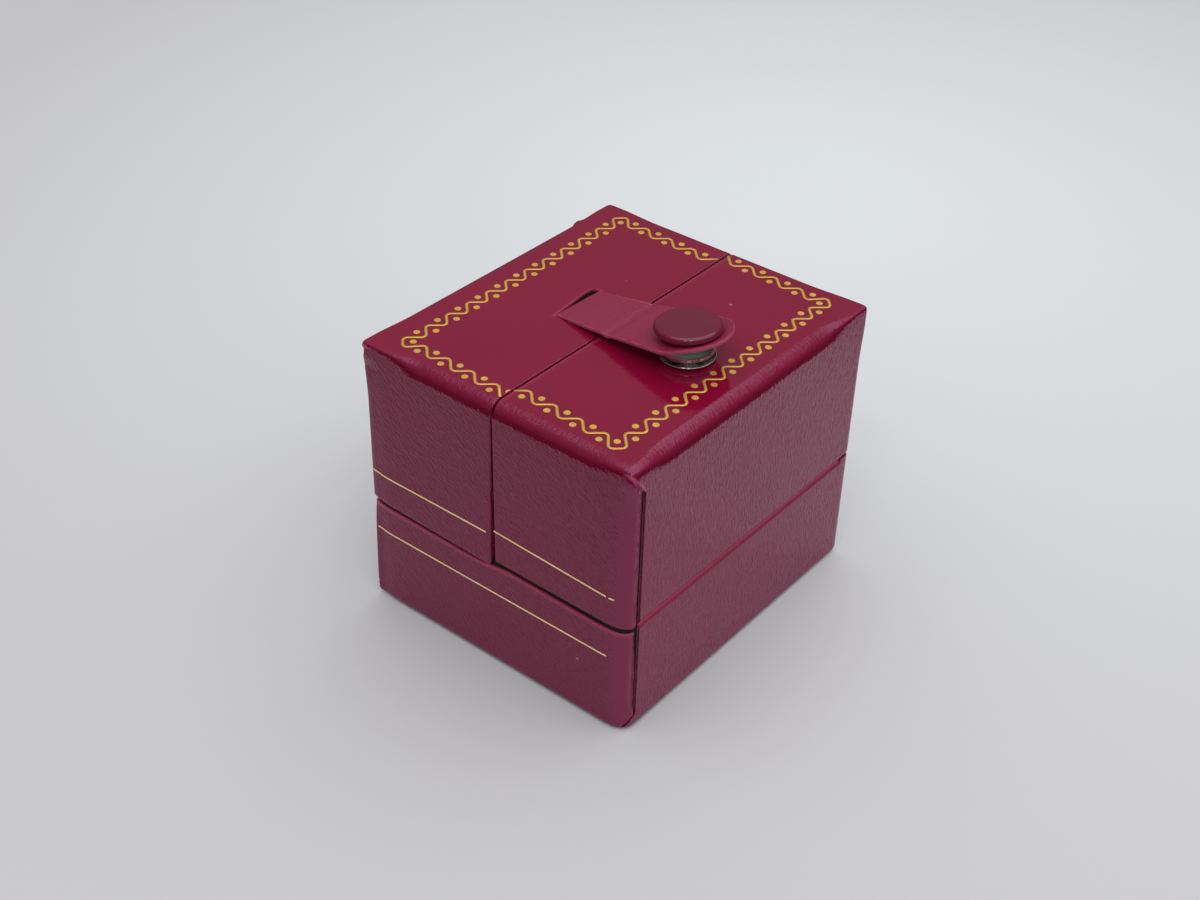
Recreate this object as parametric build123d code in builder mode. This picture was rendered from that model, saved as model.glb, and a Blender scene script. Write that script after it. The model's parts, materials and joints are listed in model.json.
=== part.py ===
from build123d import *
import os

# Double ring box in leatherette: a base that holds two rings, and two doors that meet over the
# middle, swing out to the sides on creases in the cover, and are held shut by a snap tab.
# Millimetres. The origin is at the middle of the underside, +Z is up and the front is at -Y.
# The doors part at x = 0 and the creases run along Y. Pieces of a door are made on the +X side.

os.makedirs("parts", exist_ok=True)

# Outside of the box
box_width = 57.0
box_depth = 65.0
hinge_height = 22.3         # crease above the table
door_height = 31.0          # top above the crease
split_gap = 0.5             # between the two doors
parting_gap = 0.5           # between the doors and the base's rim
parting_rise = 0.4          # middle of that gap above the crease
corner_rounding = 2.9       # top edges and upright corners
foot_rounding = 1.8         # bottom edges

# Layers of the walls
cover_thickness = 0.4       # leatherette
board_thickness = 1.1       # stiff card
shell_wall = 1.2            # formed trays
lining_thickness = 0.6      # flocked lining
glue_line = 0.05            # between two glued layers

# Side panels, with the slits beside them where the front and back leatherette tucks in
panel_setback = 3.1         # panel's edge behind the front and back faces
slit_width = 0.5
slit_drop = 4.5             # slit's upper end below the top
hinge_groove = 1.6          # pressed groove along the crease, between the boards

# Inside of the base
lining_setback = 0.4        # lining's edge inside the edge of its wall
bed_thickness = 1.0
ring_slot = 1.0             # between two rolls at their fullest
roll_margin = 0.3           # between the rolls and the lining
roll_rise = 1.6             # crowns above the base's rim
roll_crown = 4.2            # crown above the roll's shoulders
roll_end_rounding = 1.5
roll_foot_share = 0.86      # of the roll's width
roll_shoulder_share = 0.92
roll_bulge_share = 0.45     # height of the fullest place, between foot and shoulder

# Inside of the doors
pad_thickness = 2.6
pad_margin = 0.3
pad_rounding = 1.5

# Snap tab: a strap of two layers that comes up through a slit in the left door's top
tab_slit_place = 9.0        # tab's root, left of the split
tab_root_width = 10.8
tab_slit_opening = 0.8
tab_slit_spare = 0.3        # slit past each side of the strap
strap_layer = 0.5
strap_rest_gap = 0.05       # strap's root above the leatherette
tab_end_radius = 7.4
tab_bend_place = 9.5        # where the strap comes level, right of the split
tab_lining_start = 6.0      # lower layer's edge, left of the split
anchor_length = 11.0        # glued leg under the leatherette
anchor_thickness = 0.6

# Press stud
snap_place = 14.6           # right of the split
snap_forward = 1.1          # in front of the middle
cap_radius = 5.7
cap_height = 2.4
cap_top_rounding = 1.3
cap_foot_rounding = 0.5
post_radius = 1.2
post_clearance = 0.05
socket_lift = 1.0           # socket's underside above the door's top
socket_height = 2.5
socket_foot_radius = 4.4
socket_top_radius = 5.0
socket_web = 0.6
socket_lip = 0.5
socket_chamber_radius = 3.4
socket_rounding = 0.3
spring_radius = 2.95
spring_wire_radius = 0.3
stud_flange_radius = 4.9
stud_flange_thickness = 0.5
stud_flange_rounding = 0.2
stud_nub_radius = 2.2
stud_nub_height = 1.7
stud_nub_rounding = 0.5
snap_clearance = 0.3        # socket's mouth round the stud
rivet_radius = 1.5
washer_radius = 4.0
washer_thickness = 0.5

overrun = 1.0               # cuts past the faces that they open

# Worked out from the sizes above
half_width = box_width / 2
half_depth = box_depth / 2
top = hinge_height + door_height
rim = hinge_height + parting_rise - parting_gap / 2
door_foot = hinge_height + parting_rise + parting_gap / 2
under_cover = cover_thickness + glue_line
under_board = under_cover + board_thickness + glue_line
panel_half = half_depth - panel_setback
panel_foot = hinge_height + hinge_groove / 2
panel_head = hinge_height - hinge_groove / 2
room_half_width = half_width - under_board - shell_wall
room_half_depth = half_depth - under_cover - shell_wall
room_top = top - under_cover - shell_wall
room_floor = under_board + shell_wall
lined_half_width = room_half_width - lining_thickness - 2 * glue_line
lined_half_depth = room_half_depth - lining_thickness - 2 * glue_line
bed_top = room_floor + glue_line + bed_thickness
snap_centre = (snap_place, -snap_forward)
socket_foot = top + socket_lift
socket_top = socket_foot + socket_height
cap_foot = socket_top + 2 * strap_layer


def keep(piece, name):
    """Labels a finished piece and writes it to its own file."""
    piece.label = name
    export_step(piece, f"parts/{name}.step")


def bar(low, high):
    """Solid between two opposite corners."""
    with BuildPart() as block:
        with BuildSketch(Plane.XY.offset(low[2])):
            with Locations(((low[0] + high[0]) / 2, (low[1] + high[1]) / 2)):
                Rectangle(high[0] - low[0], high[1] - low[1])
        extrude(amount=high[2] - low[2])
    return block.part


def disc(centre, radius, low, high):
    """Upright cylinder."""
    with BuildPart() as block:
        with BuildSketch(Plane.XY.offset(low)):
            with Locations(centre):
                Circle(radius)
        extrude(amount=high - low)
    return block.part


def base_block(inset, low, high):
    """Base's outside, drawn in by the inset, with rounded corners and bottom edges."""
    with BuildPart() as block:
        with BuildSketch(Plane.XY.offset(low)):
            RectangleRounded(box_width - 2 * inset, box_depth - 2 * inset, corner_rounding - inset)
        extrude(amount=high - low)
        fillet(block.faces().sort_by(Axis.Z)[0].edges(), foot_rounding - inset)
    return block.part


def door_block(inset):
    """Right door's outside, drawn in by the inset, with rounded top edges and outer corners."""
    with BuildPart() as block:
        add(bar(
            (split_gap / 2 + inset, inset - half_depth, door_foot + inset),
            (half_width - inset, half_depth - inset, top - inset),
        ))
        upright = block.edges().filter_by(Axis.Z).group_by(Axis.X)[-1]
        upper = block.faces().sort_by(Axis.Z)[-1].edges().sort_by(Axis.X)[1:]
        fillet(upright + upper, corner_rounding - inset)
    return block.part


def door_room():
    """Hollow of the right door, open at the split and at the foot."""
    return bar(
        (-overrun, -room_half_depth, door_foot - overrun),
        (room_half_width, room_half_depth, room_top),
    )


def base_room():
    """Hollow of the base, open at the rim."""
    return bar(
        (-room_half_width, -room_half_depth, room_floor),
        (room_half_width, room_half_depth, rim + overrun),
    )


def base_skin():
    """Leatherette all round the base, turned in over the rim, before it is cut into its sheets."""
    with BuildPart() as skin:
        add(base_block(0, 0, rim))
        add(base_block(cover_thickness, cover_thickness, rim - cover_thickness), mode=Mode.SUBTRACT)
        add(base_room(), mode=Mode.SUBTRACT)
    return skin.part


def slab(y_low, y_high, z_high):
    """Everything between two places along Y, up to a level."""
    return bar((-half_width - overrun, y_low, -overrun), (half_width + overrun, y_high, z_high))


# Base

with BuildPart() as base_shell:
    add(base_block(under_cover, under_board, rim - under_cover))
    add(base_room(), mode=Mode.SUBTRACT)
    for side in (-1, 1):
        inner = side * (half_width - under_board)
        outer = side * (half_width + overrun)
        add(bar(
            (min(inner, outer), -panel_half - glue_line, under_board - overrun),
            (max(inner, outer), panel_half + glue_line, rim + overrun),
        ), mode=Mode.SUBTRACT)
keep(base_shell.part, "base_shell")

with BuildPart() as base_cover:
    add(base_skin())
    add(slab(-panel_half, panel_half, panel_head), mode=Mode.INTERSECT)
    crease_inset = cover_thickness / 2
    for side in (-1, 1):
        crease_x = side * (half_width - crease_inset)
        add(bar(
            (crease_x - crease_inset, -panel_half, panel_head),
            (crease_x + crease_inset, panel_half, hinge_height),
        ))
        with BuildSketch(Plane.XZ.offset(-panel_half)):
            with Locations((crease_x, hinge_height)):
                Circle(crease_inset)
        extrude(amount=2 * panel_half)
keep(base_cover.part, "base_cover")

with BuildPart() as base_front_wrap:
    add(base_skin())
    add(slab(-half_depth - overrun, -panel_half - slit_width, rim), mode=Mode.INTERSECT)
keep(base_front_wrap.part, "base_front_wrap")

with BuildPart() as base_back_wrap:
    add(base_skin())
    add(slab(panel_half + slit_width, half_depth + overrun, rim), mode=Mode.INTERSECT)
keep(base_back_wrap.part, "base_back_wrap")

for side, name in ((-1, "base_left_board"), (1, "base_right_board")):
    near = side * (half_width - under_board + glue_line)
    far = side * (half_width - under_cover)
    with BuildPart() as side_board:
        add(bar(
            (min(near, far), -panel_half, foot_rounding),
            (max(near, far), panel_half, panel_head),
        ))
    keep(side_board.part, name)

with BuildPart() as bottom_board:
    add(bar(
        (foot_rounding - half_width, -panel_half, under_cover),
        (half_width - foot_rounding, panel_half, under_board - glue_line),
    ))
keep(bottom_board.part, "base_bottom_board")

with BuildPart() as base_lining:
    with BuildSketch(Plane.XY.offset(room_floor + glue_line)):
        Rectangle(2 * (room_half_width - glue_line), 2 * (room_half_depth - glue_line))
        Rectangle(
            2 * (room_half_width - glue_line - lining_thickness),
            2 * (room_half_depth - glue_line - lining_thickness),
            mode=Mode.SUBTRACT,
        )
    extrude(amount=rim - lining_setback - room_floor - glue_line)
keep(base_lining.part, "base_lining")

with BuildPart() as insert_bed:
    add(bar(
        (-lined_half_width, -lined_half_depth, room_floor + glue_line),
        (lined_half_width, lined_half_depth, bed_top),
    ))
keep(insert_bed.part, "insert_bed")

# Padded rolls that lie along X, with a slot for a ring between each two
roll_names = ("ring_roll_front", "ring_roll_middle", "ring_roll_back")
roll_length = 2 * (lined_half_width - roll_margin)
roll_space = 2 * (lined_half_depth - roll_margin)
roll_width = (roll_space - (len(roll_names) - 1) * ring_slot) / len(roll_names)
roll_foot_half = roll_width / 2 * roll_foot_share
roll_shoulder_half = roll_width / 2 * roll_shoulder_share
roll_top = rim + roll_rise
roll_shoulder = roll_top - roll_crown
roll_fullest = bed_top + roll_bulge_share * (roll_shoulder - bed_top)

# Places along X where a roll's outline is drawn, and how far each is drawn in for the rounded ends
roll_stations = []
for turn in (0, 30, 60, 90):
    turned = Vector(roll_end_rounding, 0, 0).rotate(Axis.Z, turn)
    station = roll_length / 2 - roll_end_rounding + turned.X
    roll_stations.append((station, roll_end_rounding - turned.Y))
roll_stations = [(-x, draw) for x, draw in roll_stations] + roll_stations[::-1]

for number, name in enumerate(roll_names):
    middle = (roll_width - roll_space) / 2 + number * (roll_width + ring_slot)
    with BuildPart() as ring_roll:
        for x, draw in roll_stations:
            foot_half = roll_foot_half - draw
            shoulder_half = roll_shoulder_half - draw
            full_half = roll_width / 2 - draw
            with BuildSketch(Plane.YZ.offset(x)):
                with BuildLine():
                    foot = Line((middle - foot_half, bed_top), (middle + foot_half, bed_top))
                    back = ThreePointArc(
                        foot @ 1,
                        (middle + full_half, roll_fullest),
                        (middle + shoulder_half, roll_shoulder),
                    )
                    crown = ThreePointArc(
                        back @ 1,
                        (middle, roll_top - draw),
                        (middle - shoulder_half, roll_shoulder),
                    )
                    ThreePointArc(crown @ 1, (middle - full_half, roll_fullest), foot @ 0)
                make_face()
        loft(ruled=True)
    keep(ring_roll.part, name)

# Doors

slit_place = panel_half + slit_width / 2


def door_shell():
    """Formed tray of the right door, with a recess for the board in its outer side."""
    with BuildPart() as shell:
        add(door_block(under_cover))
        add(door_room(), mode=Mode.SUBTRACT)
        add(bar(
            (half_width - under_board, -panel_half - glue_line, door_foot - overrun),
            (half_width + overrun, panel_half + glue_line, top - corner_rounding + glue_line),
        ), mode=Mode.SUBTRACT)
    return shell.part


def door_cover():
    """Leatherette of the right door: one sheet over the top, front, back and side."""
    with BuildPart() as cover:
        add(door_block(0))
        add(door_block(cover_thickness), mode=Mode.SUBTRACT)
        add(door_room(), mode=Mode.SUBTRACT)
        for place in (-slit_place, slit_place):
            add(bar(
                (half_width - corner_rounding, place - slit_width / 2, door_foot - overrun),
                (half_width + overrun, place + slit_width / 2, top - slit_drop),
            ), mode=Mode.SUBTRACT)
        for reach, level in ((-cover_thickness, door_foot + under_cover), (overrun, panel_foot)):
            add(bar(
                (room_half_width, -slit_place, door_foot - overrun),
                (half_width + reach, slit_place, level),
            ), mode=Mode.SUBTRACT)
    return cover.part


def door_board():
    """Stiff card under the leatherette of the right door's side."""
    return bar(
        (half_width - under_board + glue_line, -panel_half, panel_foot),
        (half_width - under_cover, panel_half, top - corner_rounding),
    )


def door_lining():
    """Flocked lining on the right door's front, side and back walls."""
    low = door_foot + lining_setback
    outer_x = room_half_width - glue_line
    outer_y = room_half_depth - glue_line
    with BuildPart() as lining:
        add(bar(
            (split_gap / 2 + lining_setback, -outer_y, low),
            (outer_x, outer_y, room_top - glue_line),
        ))
        add(bar(
            (-overrun, lining_thickness - outer_y, low - overrun),
            (outer_x - lining_thickness, outer_y - lining_thickness, top),
        ), mode=Mode.SUBTRACT)
    return lining.part


def door_pad():
    """Padded satin under the right door's top, rounded on its lower edges."""
    with BuildPart() as pad:
        add(bar(
            (split_gap / 2 + lining_setback, pad_margin - lined_half_depth, room_top - pad_thickness),
            (lined_half_width - pad_margin, lined_half_depth - pad_margin, room_top - glue_line),
        ))
        fillet(pad.faces().sort_by(Axis.Z)[0].edges(), pad_rounding)
    return pad.part


left = Plane.YZ
tab_root = -tab_slit_place
slit_half = tab_root_width / 2 + tab_slit_spare
leg_top = top - under_cover
leg_foot = leg_top - anchor_thickness

with BuildPart() as left_door_shell:
    add(door_shell().mirror(left))
    add(bar(
        (tab_root - anchor_length - glue_line, -slit_half, leg_foot - glue_line),
        (tab_root + glue_line, slit_half, top),
    ), mode=Mode.SUBTRACT)
keep(left_door_shell.part, "left_door_shell")

with BuildPart() as left_door_cover:
    add(door_cover().mirror(left))
    add(bar(
        (tab_root - tab_slit_opening, -slit_half, top - under_cover),
        (tab_root, slit_half, top + overrun),
    ), mode=Mode.SUBTRACT)
keep(left_door_cover.part, "left_door_cover")

with BuildPart() as left_door_board:
    add(door_board().mirror(left))
keep(left_door_board.part, "left_door_board")

with BuildPart() as left_door_lining:
    add(door_lining().mirror(left))
keep(left_door_lining.part, "left_door_lining")

with BuildPart() as left_door_pad:
    add(door_pad().mirror(left))
keep(left_door_pad.part, "left_door_pad")

# The tab's glued leg turns up through the slit, as high as the leatherette's face
with BuildPart() as tab_anchor:
    leg_half = tab_root_width / 2
    riser = tab_root - (tab_slit_opening - strap_layer) / 2
    leg_end = riser - anchor_length + strap_layer
    add(bar((leg_end, -leg_half, leg_foot), (riser, leg_half, leg_top)))
    add(bar((riser - strap_layer, -leg_half, leg_top), (riser, leg_half, top)))
keep(tab_anchor.part, "tab_anchor")

rivet_hole = rivet_radius + post_clearance

with BuildPart() as right_door_shell:
    add(door_shell())
    add(disc(snap_centre, rivet_hole, room_top - overrun, top), mode=Mode.SUBTRACT)
keep(right_door_shell.part, "right_door_shell")

with BuildPart() as right_door_cover:
    add(door_cover())
    add(disc(snap_centre, rivet_hole, top - under_cover, top + overrun), mode=Mode.SUBTRACT)
keep(right_door_cover.part, "right_door_cover")

with BuildPart() as right_door_board:
    add(door_board())
keep(right_door_board.part, "right_door_board")

with BuildPart() as right_door_lining:
    add(door_lining())
keep(right_door_lining.part, "right_door_lining")

washer_foot = room_top - washer_thickness

with BuildPart() as right_door_pad:
    add(door_pad())
    add(disc(
        snap_centre, washer_radius + pad_margin, washer_foot - pad_margin, room_top,
    ), mode=Mode.SUBTRACT)
keep(right_door_pad.part, "right_door_pad")

# Press stud

post_hole = post_radius + post_clearance

with BuildPart() as snap_stud:
    flange_top = top + stud_flange_thickness
    add(disc(snap_centre, stud_flange_radius, top, flange_top))
    fillet(snap_stud.edges().sort_by(Axis.Z)[-1], stud_flange_rounding)
    add(disc(snap_centre, stud_nub_radius, flange_top, flange_top + stud_nub_height))
    fillet(snap_stud.edges().sort_by(Axis.Z)[-1], stud_nub_rounding)
    add(disc(snap_centre, rivet_radius, washer_foot, top))
keep(snap_stud.part, "snap_stud")

with BuildPart() as stud_washer:
    add(disc(snap_centre, washer_radius, washer_foot, room_top))
    add(disc(snap_centre, rivet_hole, washer_foot - overrun, room_top + overrun), mode=Mode.SUBTRACT)
keep(stud_washer.part, "stud_washer")

with BuildPart() as snap_socket:
    with BuildSketch(Plane.XY.offset(socket_foot)):
        with Locations(snap_centre):
            Circle(socket_foot_radius)
    with BuildSketch(Plane.XY.offset(socket_top)):
        with Locations(snap_centre):
            Circle(socket_top_radius)
    loft()
    fillet(snap_socket.edges().sort_by(Axis.Z)[0], socket_rounding)
    chamber_low = socket_foot + socket_lip
    chamber_high = socket_top - socket_web
    mouth_radius = stud_nub_radius + snap_clearance
    add(disc(snap_centre, mouth_radius, socket_foot - overrun, chamber_high), mode=Mode.SUBTRACT)
    add(disc(snap_centre, socket_chamber_radius, chamber_low, chamber_high), mode=Mode.SUBTRACT)
    add(disc(snap_centre, post_hole, chamber_high - overrun, cap_foot), mode=Mode.SUBTRACT)
keep(snap_socket.part, "snap_socket")

with BuildPart() as socket_spring:
    with BuildSketch(Plane.XZ.offset(snap_forward)):
        with Locations((snap_place + spring_radius, chamber_low + spring_wire_radius)):
            Circle(spring_wire_radius)
    revolve(axis=Axis((snap_place, -snap_forward, 0), (0, 0, 1)))
keep(socket_spring.part, "socket_spring")

with BuildPart() as snap_cap:
    add(disc(snap_centre, cap_radius, cap_foot, cap_foot + cap_height))
    fillet(snap_cap.edges().sort_by(Axis.Z)[-1], cap_top_rounding)
    fillet(snap_cap.edges().sort_by(Axis.Z)[0], cap_foot_rounding)
    add(disc(snap_centre, post_radius, chamber_high, cap_foot))
keep(snap_cap.part, "snap_cap")

# Snap tab: each layer is a bent sheet trimmed to the tongue's outline

strap_foot = top + strap_rest_gap
strap_level = socket_top + strap_layer
strap_rise_share = (strap_level - strap_foot) / (tab_bend_place + tab_slit_place)


def strap_sheet(start, drop, thickness):
    """Sheet that rises from the tab's root to the snap, starting at x, below the strap by the drop."""
    start_height = strap_foot + strap_rise_share * (start - tab_root) - drop
    level = strap_level - drop
    end = snap_place + tab_end_radius + overrun
    with BuildPart() as sheet:
        with BuildSketch(Plane.XZ):
            with BuildLine():
                Polyline(
                    (start, start_height),
                    (tab_bend_place, level),
                    (end, level),
                    (end, level + thickness),
                    (tab_bend_place, level + thickness),
                    (start, start_height + thickness),
                    close=True,
                )
            make_face()
        extrude(amount=half_depth, both=True)
    return sheet.part


def tongue():
    """Outline of the tab from above: straight sides from the slit to a round end about the snap."""
    with BuildPart() as outline:
        with BuildSketch(Plane.XY.offset(top)):
            with BuildLine():
                Line((tab_root, -tab_root_width / 2), (tab_root, tab_root_width / 2))
                CenterArc(snap_centre, tab_end_radius, 0, 360)
            make_hull()
        extrude(amount=cap_foot - top + overrun)
    return outline.part


def tab_layer(start, drop, thickness):
    """One layer of the tab, with a hole for the cap's post."""
    with BuildPart() as layer:
        add(strap_sheet(start, drop, thickness))
        add(tongue(), mode=Mode.INTERSECT)
        add(disc(snap_centre, post_hole, top, cap_foot + overrun), mode=Mode.SUBTRACT)
    return layer.part


with BuildPart() as tab_strap:
    add(tab_layer(tab_root, 0, strap_layer))
keep(tab_strap.part, "tab_strap")

with BuildPart() as tab_lining:
    add(tab_layer(-tab_lining_start, strap_layer, strap_layer - glue_line))
keep(tab_lining.part, "tab_lining")
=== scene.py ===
# %% [markdown]
# A double ring box in crimson leatherette: a base, two doors that meet over the middle, and a snap
# tab that holds them shut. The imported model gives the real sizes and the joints, and it stays where
# it is. This lesson dresses it: every piece of leatherette, foil, metal and padding is made in the
# same frame, in the place of the solid that it stands for.

# %% The frame
import json
import math

import bmesh
import bpy
from mathutils import Matrix, Vector
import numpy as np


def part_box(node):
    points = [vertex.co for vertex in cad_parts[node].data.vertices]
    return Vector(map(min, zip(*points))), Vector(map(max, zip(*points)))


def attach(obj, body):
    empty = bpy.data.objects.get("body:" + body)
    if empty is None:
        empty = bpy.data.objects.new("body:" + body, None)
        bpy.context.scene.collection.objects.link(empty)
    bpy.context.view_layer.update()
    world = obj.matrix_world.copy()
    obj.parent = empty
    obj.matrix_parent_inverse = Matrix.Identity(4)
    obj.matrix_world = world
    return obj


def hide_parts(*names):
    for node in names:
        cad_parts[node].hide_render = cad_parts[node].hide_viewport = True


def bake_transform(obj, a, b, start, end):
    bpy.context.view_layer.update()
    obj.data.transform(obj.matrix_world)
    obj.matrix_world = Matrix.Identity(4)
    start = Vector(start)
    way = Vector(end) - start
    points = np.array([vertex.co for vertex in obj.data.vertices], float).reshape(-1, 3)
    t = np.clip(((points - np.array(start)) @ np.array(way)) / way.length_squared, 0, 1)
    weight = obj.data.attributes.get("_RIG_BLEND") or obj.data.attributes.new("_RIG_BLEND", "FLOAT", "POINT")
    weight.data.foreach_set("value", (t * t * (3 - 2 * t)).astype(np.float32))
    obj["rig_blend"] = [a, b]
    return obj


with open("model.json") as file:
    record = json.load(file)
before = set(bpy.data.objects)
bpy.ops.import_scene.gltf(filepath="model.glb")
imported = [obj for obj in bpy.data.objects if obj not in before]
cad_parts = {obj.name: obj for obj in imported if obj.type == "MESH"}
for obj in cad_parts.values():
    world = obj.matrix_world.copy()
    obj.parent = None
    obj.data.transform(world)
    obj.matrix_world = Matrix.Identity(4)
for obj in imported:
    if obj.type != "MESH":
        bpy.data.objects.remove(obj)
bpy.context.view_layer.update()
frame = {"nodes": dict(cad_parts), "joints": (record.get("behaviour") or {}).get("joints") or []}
scene = bpy.context.scene

# %% [markdown]
# The box is only six centimetres wide, so the pieces are drawn in millimetres and made metres at the
# end. The main sizes aren't typed again: they are read from the corners of the CAD nodes.

# %% Sizes from the frame
MM = 0.001


def corners(node):
    """Lowest and highest corner of a CAD node, in millimetres."""
    low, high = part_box(node)
    return low / MM, high / MM


door_low, door_high = corners("right_door_cover")
half_width, half_depth, top = door_high
split_half, door_foot = door_low.x, door_low.z
rim = corners("base_front_wrap")[1].z
wrap_edge = -corners("base_front_wrap")[1].y
strip_edge = corners("base_cover")[1].y
strip_foot, strip_head = corners("right_door_board")[0].z, corners("base_right_board")[1].z
hinge = {joint["child"]: Vector(joint["pos_m"]) / MM for joint in frame["joints"]}
cap_low, cap_high = corners("snap_cap")
snap_x, snap_y = (cap_low.x + cap_high.x) / 2, (cap_low.y + cap_high.y) / 2
print(f"box {2 * half_width:.1f} x {2 * half_depth:.1f} x {top:.1f} mm, rim at {rim:.2f}")

# %% [markdown]
# The photograph was taken from in front, a little to the right and above, with a short telephoto lens.
# The camera's place is a direction, a distance and a small turn about its own axis, so it is built
# from those and not from a table of numbers.

# %% Camera
camera_azimuth = math.radians(38.05)
camera_elevation = math.radians(35.51)
camera_roll = math.radians(1.705)
camera_distance = 316.9
camera_aim = (-2.13, 22.06)     # across and up in the picture
camera_lens = 51.38


def linked(name, data):
    """A new object in the scene."""
    thing = bpy.data.objects.new(name, data)
    scene.collection.objects.link(thing)
    return thing


back = Vector((
    math.sin(camera_azimuth) * math.cos(camera_elevation),
    -math.cos(camera_azimuth) * math.cos(camera_elevation),
    math.sin(camera_elevation),
))
level = Vector((math.cos(camera_azimuth), math.sin(camera_azimuth), 0))
upright = back.cross(level)
turn = Matrix.Rotation(camera_roll, 3, back)
across, upwards = turn @ level, turn @ upright
eye = back * camera_distance + across * camera_aim[0] + upwards * camera_aim[1]
lens = bpy.data.cameras.new("camera")
lens.lens = camera_lens
lens.clip_start = 0.01
camera = linked("camera", lens)
camera.matrix_world = Matrix.Translation(eye * MM) @ Matrix((across, upwards, back)).transposed().to_4x4()
scene.camera = camera
print("camera at", [round(x, 1) for x in eye], "mm")

# %% [markdown]
# Materials are shader nodes. A few short helpers keep them readable: one adds a node and sets its
# values, one links an output to an input, and one starts a material with a Principled shader. The
# others are small combinations of nodes that several finishes share.

# %% Node helpers


def add(tree, kind, **values):
    """A new node, with its sockets or its own settings set by name."""
    node = tree.nodes.new("ShaderNode" + kind)
    for name, value in values.items():
        socket = node.inputs.get(name.replace("_", " ").title())
        if socket is None:
            setattr(node, name, value)
        else:
            socket.default_value = value
    return node


def join(tree, source, target):
    """Links two sockets. A node on the left stands for its first output that is in use."""
    if isinstance(source, bpy.types.Node):
        source = next(output for output in source.outputs if output.enabled)
    tree.links.new(source, target)


def math_node(tree, operation, first, second=None, clamp=False):
    """A Math node on sockets, nodes or plain numbers."""
    node = tree.nodes.new("ShaderNodeMath")
    node.operation = operation
    node.use_clamp = clamp
    for socket, value in zip(node.inputs, (first, second)):
        if isinstance(value, (int, float)):
            socket.default_value = value
        elif value is not None:
            join(tree, value, socket)
    return node


def blend_colours(tree, factor, first, second, blend_type="MIX"):
    """A colour Mix node. Colours are plain values, nodes or sockets."""
    node = tree.nodes.new("ShaderNodeMix")
    node.data_type = "RGBA"
    node.blend_type = blend_type
    for socket, value in zip((node.inputs[0], node.inputs[6], node.inputs[7]), (factor, first, second)):
        if isinstance(value, (int, float, tuple)):
            socket.default_value = value
        else:
            join(tree, value, socket)
    return node.outputs[2]


def new_material(name):
    """A material with an empty Principled shader, and its tree."""
    material = bpy.data.materials.new(name)
    material.use_nodes = True
    return material, material.node_tree, material.node_tree.nodes["Principled BSDF"]


def new_group(name, inputs, outputs):
    """A shader node group with named sockets: (name, kind, value) in, (name, kind) out."""
    group = bpy.data.node_groups.new(name, "ShaderNodeTree")
    for label, kind, value in inputs:
        socket = group.interface.new_socket(label, in_out="INPUT", socket_type="NodeSocket" + kind)
        if value is not None:
            socket.default_value = value
    for label, kind in outputs:
        group.interface.new_socket(label, in_out="OUTPUT", socket_type="NodeSocket" + kind)
    return group, group.nodes.new("NodeGroupInput"), group.nodes.new("NodeGroupOutput")


def use_group(tree, group, **values):
    """The group as a node in a material, with its own values."""
    node = tree.nodes.new("ShaderNodeGroup")
    node.node_tree = group
    for name, value in values.items():
        node.inputs[name.replace("_", " ").title()].default_value = value
    return node


def set_values(shader, values):
    """Sets inputs of a shader by their names."""
    for name, value in values.items():
        shader.inputs[name].default_value = value


def object_place(tree):
    """Object coordinates, which travel with the piece."""
    return add(tree, "TexCoord").outputs["Object"]


def textured(tree, kind, place, **values):
    """A texture or mapping node at the given place."""
    node = add(tree, kind, **values)
    join(tree, place, node.inputs["Vector"])
    return node


def ranged(tree, value, low, high, **limits):
    """A value turned into one between low and high."""
    node = add(tree, "MapRange", to_min=low, to_max=high, **limits)
    join(tree, value, node.inputs["Value"])
    return node


def bumped(tree, shader, height, strength, depth):
    """Lets a height, its depth in millimetres, bend the shader's normal."""
    bump = add(tree, "Bump", strength=strength, distance=depth * MM)
    join(tree, height, bump.inputs["Height"])
    join(tree, bump, shader.inputs["Normal"])


print("node helpers ready")

# %% [markdown]
# Leatherette is paper or cloth with a coloured plastic face, pressed with a fine grain. The grain is
# not the same all round this box: the top is nearly smooth, the front has small slanting pebbles, and
# the sides have upright wrinkles where the sheet was pulled down. One shared group gives a pressed
# grain in one direction, and the leatherette mixes three of them by the way the face looks.

# %% Shared effects: pressed grain and flecks
fleck_reach = 0.12         # of a speck, in the scale of the cells that hold one each


def pressed_grain():
    """Height of an embossed grain, stretched by the vector that it is given."""
    group, given, out = new_group(
        "pressed_grain",
        [("Vector", "Vector", None), ("Scale", "Float", 1000.0), ("Pebble", "Float", 0.5)],
        [("Height", "Float")],
    )
    place = given.outputs["Vector"]
    wrinkle = textured(group, "TexNoise", place, detail=3.0, roughness=0.55, distortion=0.6)
    pebble = textured(group, "TexVoronoi", place, feature="SMOOTH_F1", smoothness=0.7)
    for texture in (wrinkle, pebble):
        join(group, given.outputs["Scale"], texture.inputs["Scale"])
    mixed = group.nodes.new("ShaderNodeMix")
    join(group, given.outputs["Pebble"], mixed.inputs[0])
    join(group, wrinkle.outputs[0], mixed.inputs[2])
    join(group, pebble.outputs["Distance"], mixed.inputs[3])
    join(group, mixed.outputs[0], out.inputs["Height"])
    return group


def flecks():
    """Mask of sparse small specks, for lint and worn spots."""
    group, given, out = new_group(
        "flecks",
        [("Vector", "Vector", None), ("Scale", "Float", 300.0), ("Amount", "Float", 0.1)],
        [("Mask", "Float")],
    )
    cells = textured(group, "TexVoronoi", given.outputs["Vector"])
    join(group, given.outputs["Scale"], cells.inputs["Scale"])
    small = math_node(group, "LESS_THAN", cells.outputs["Distance"], fleck_reach)
    pick = add(group, "SeparateColor")
    join(group, cells.outputs["Color"], pick.inputs[0])
    few = math_node(group, "LESS_THAN", pick.outputs[0], given.outputs["Amount"])
    join(group, math_node(group, "MULTIPLY", small, few), out.inputs["Mask"])
    return group


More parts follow.
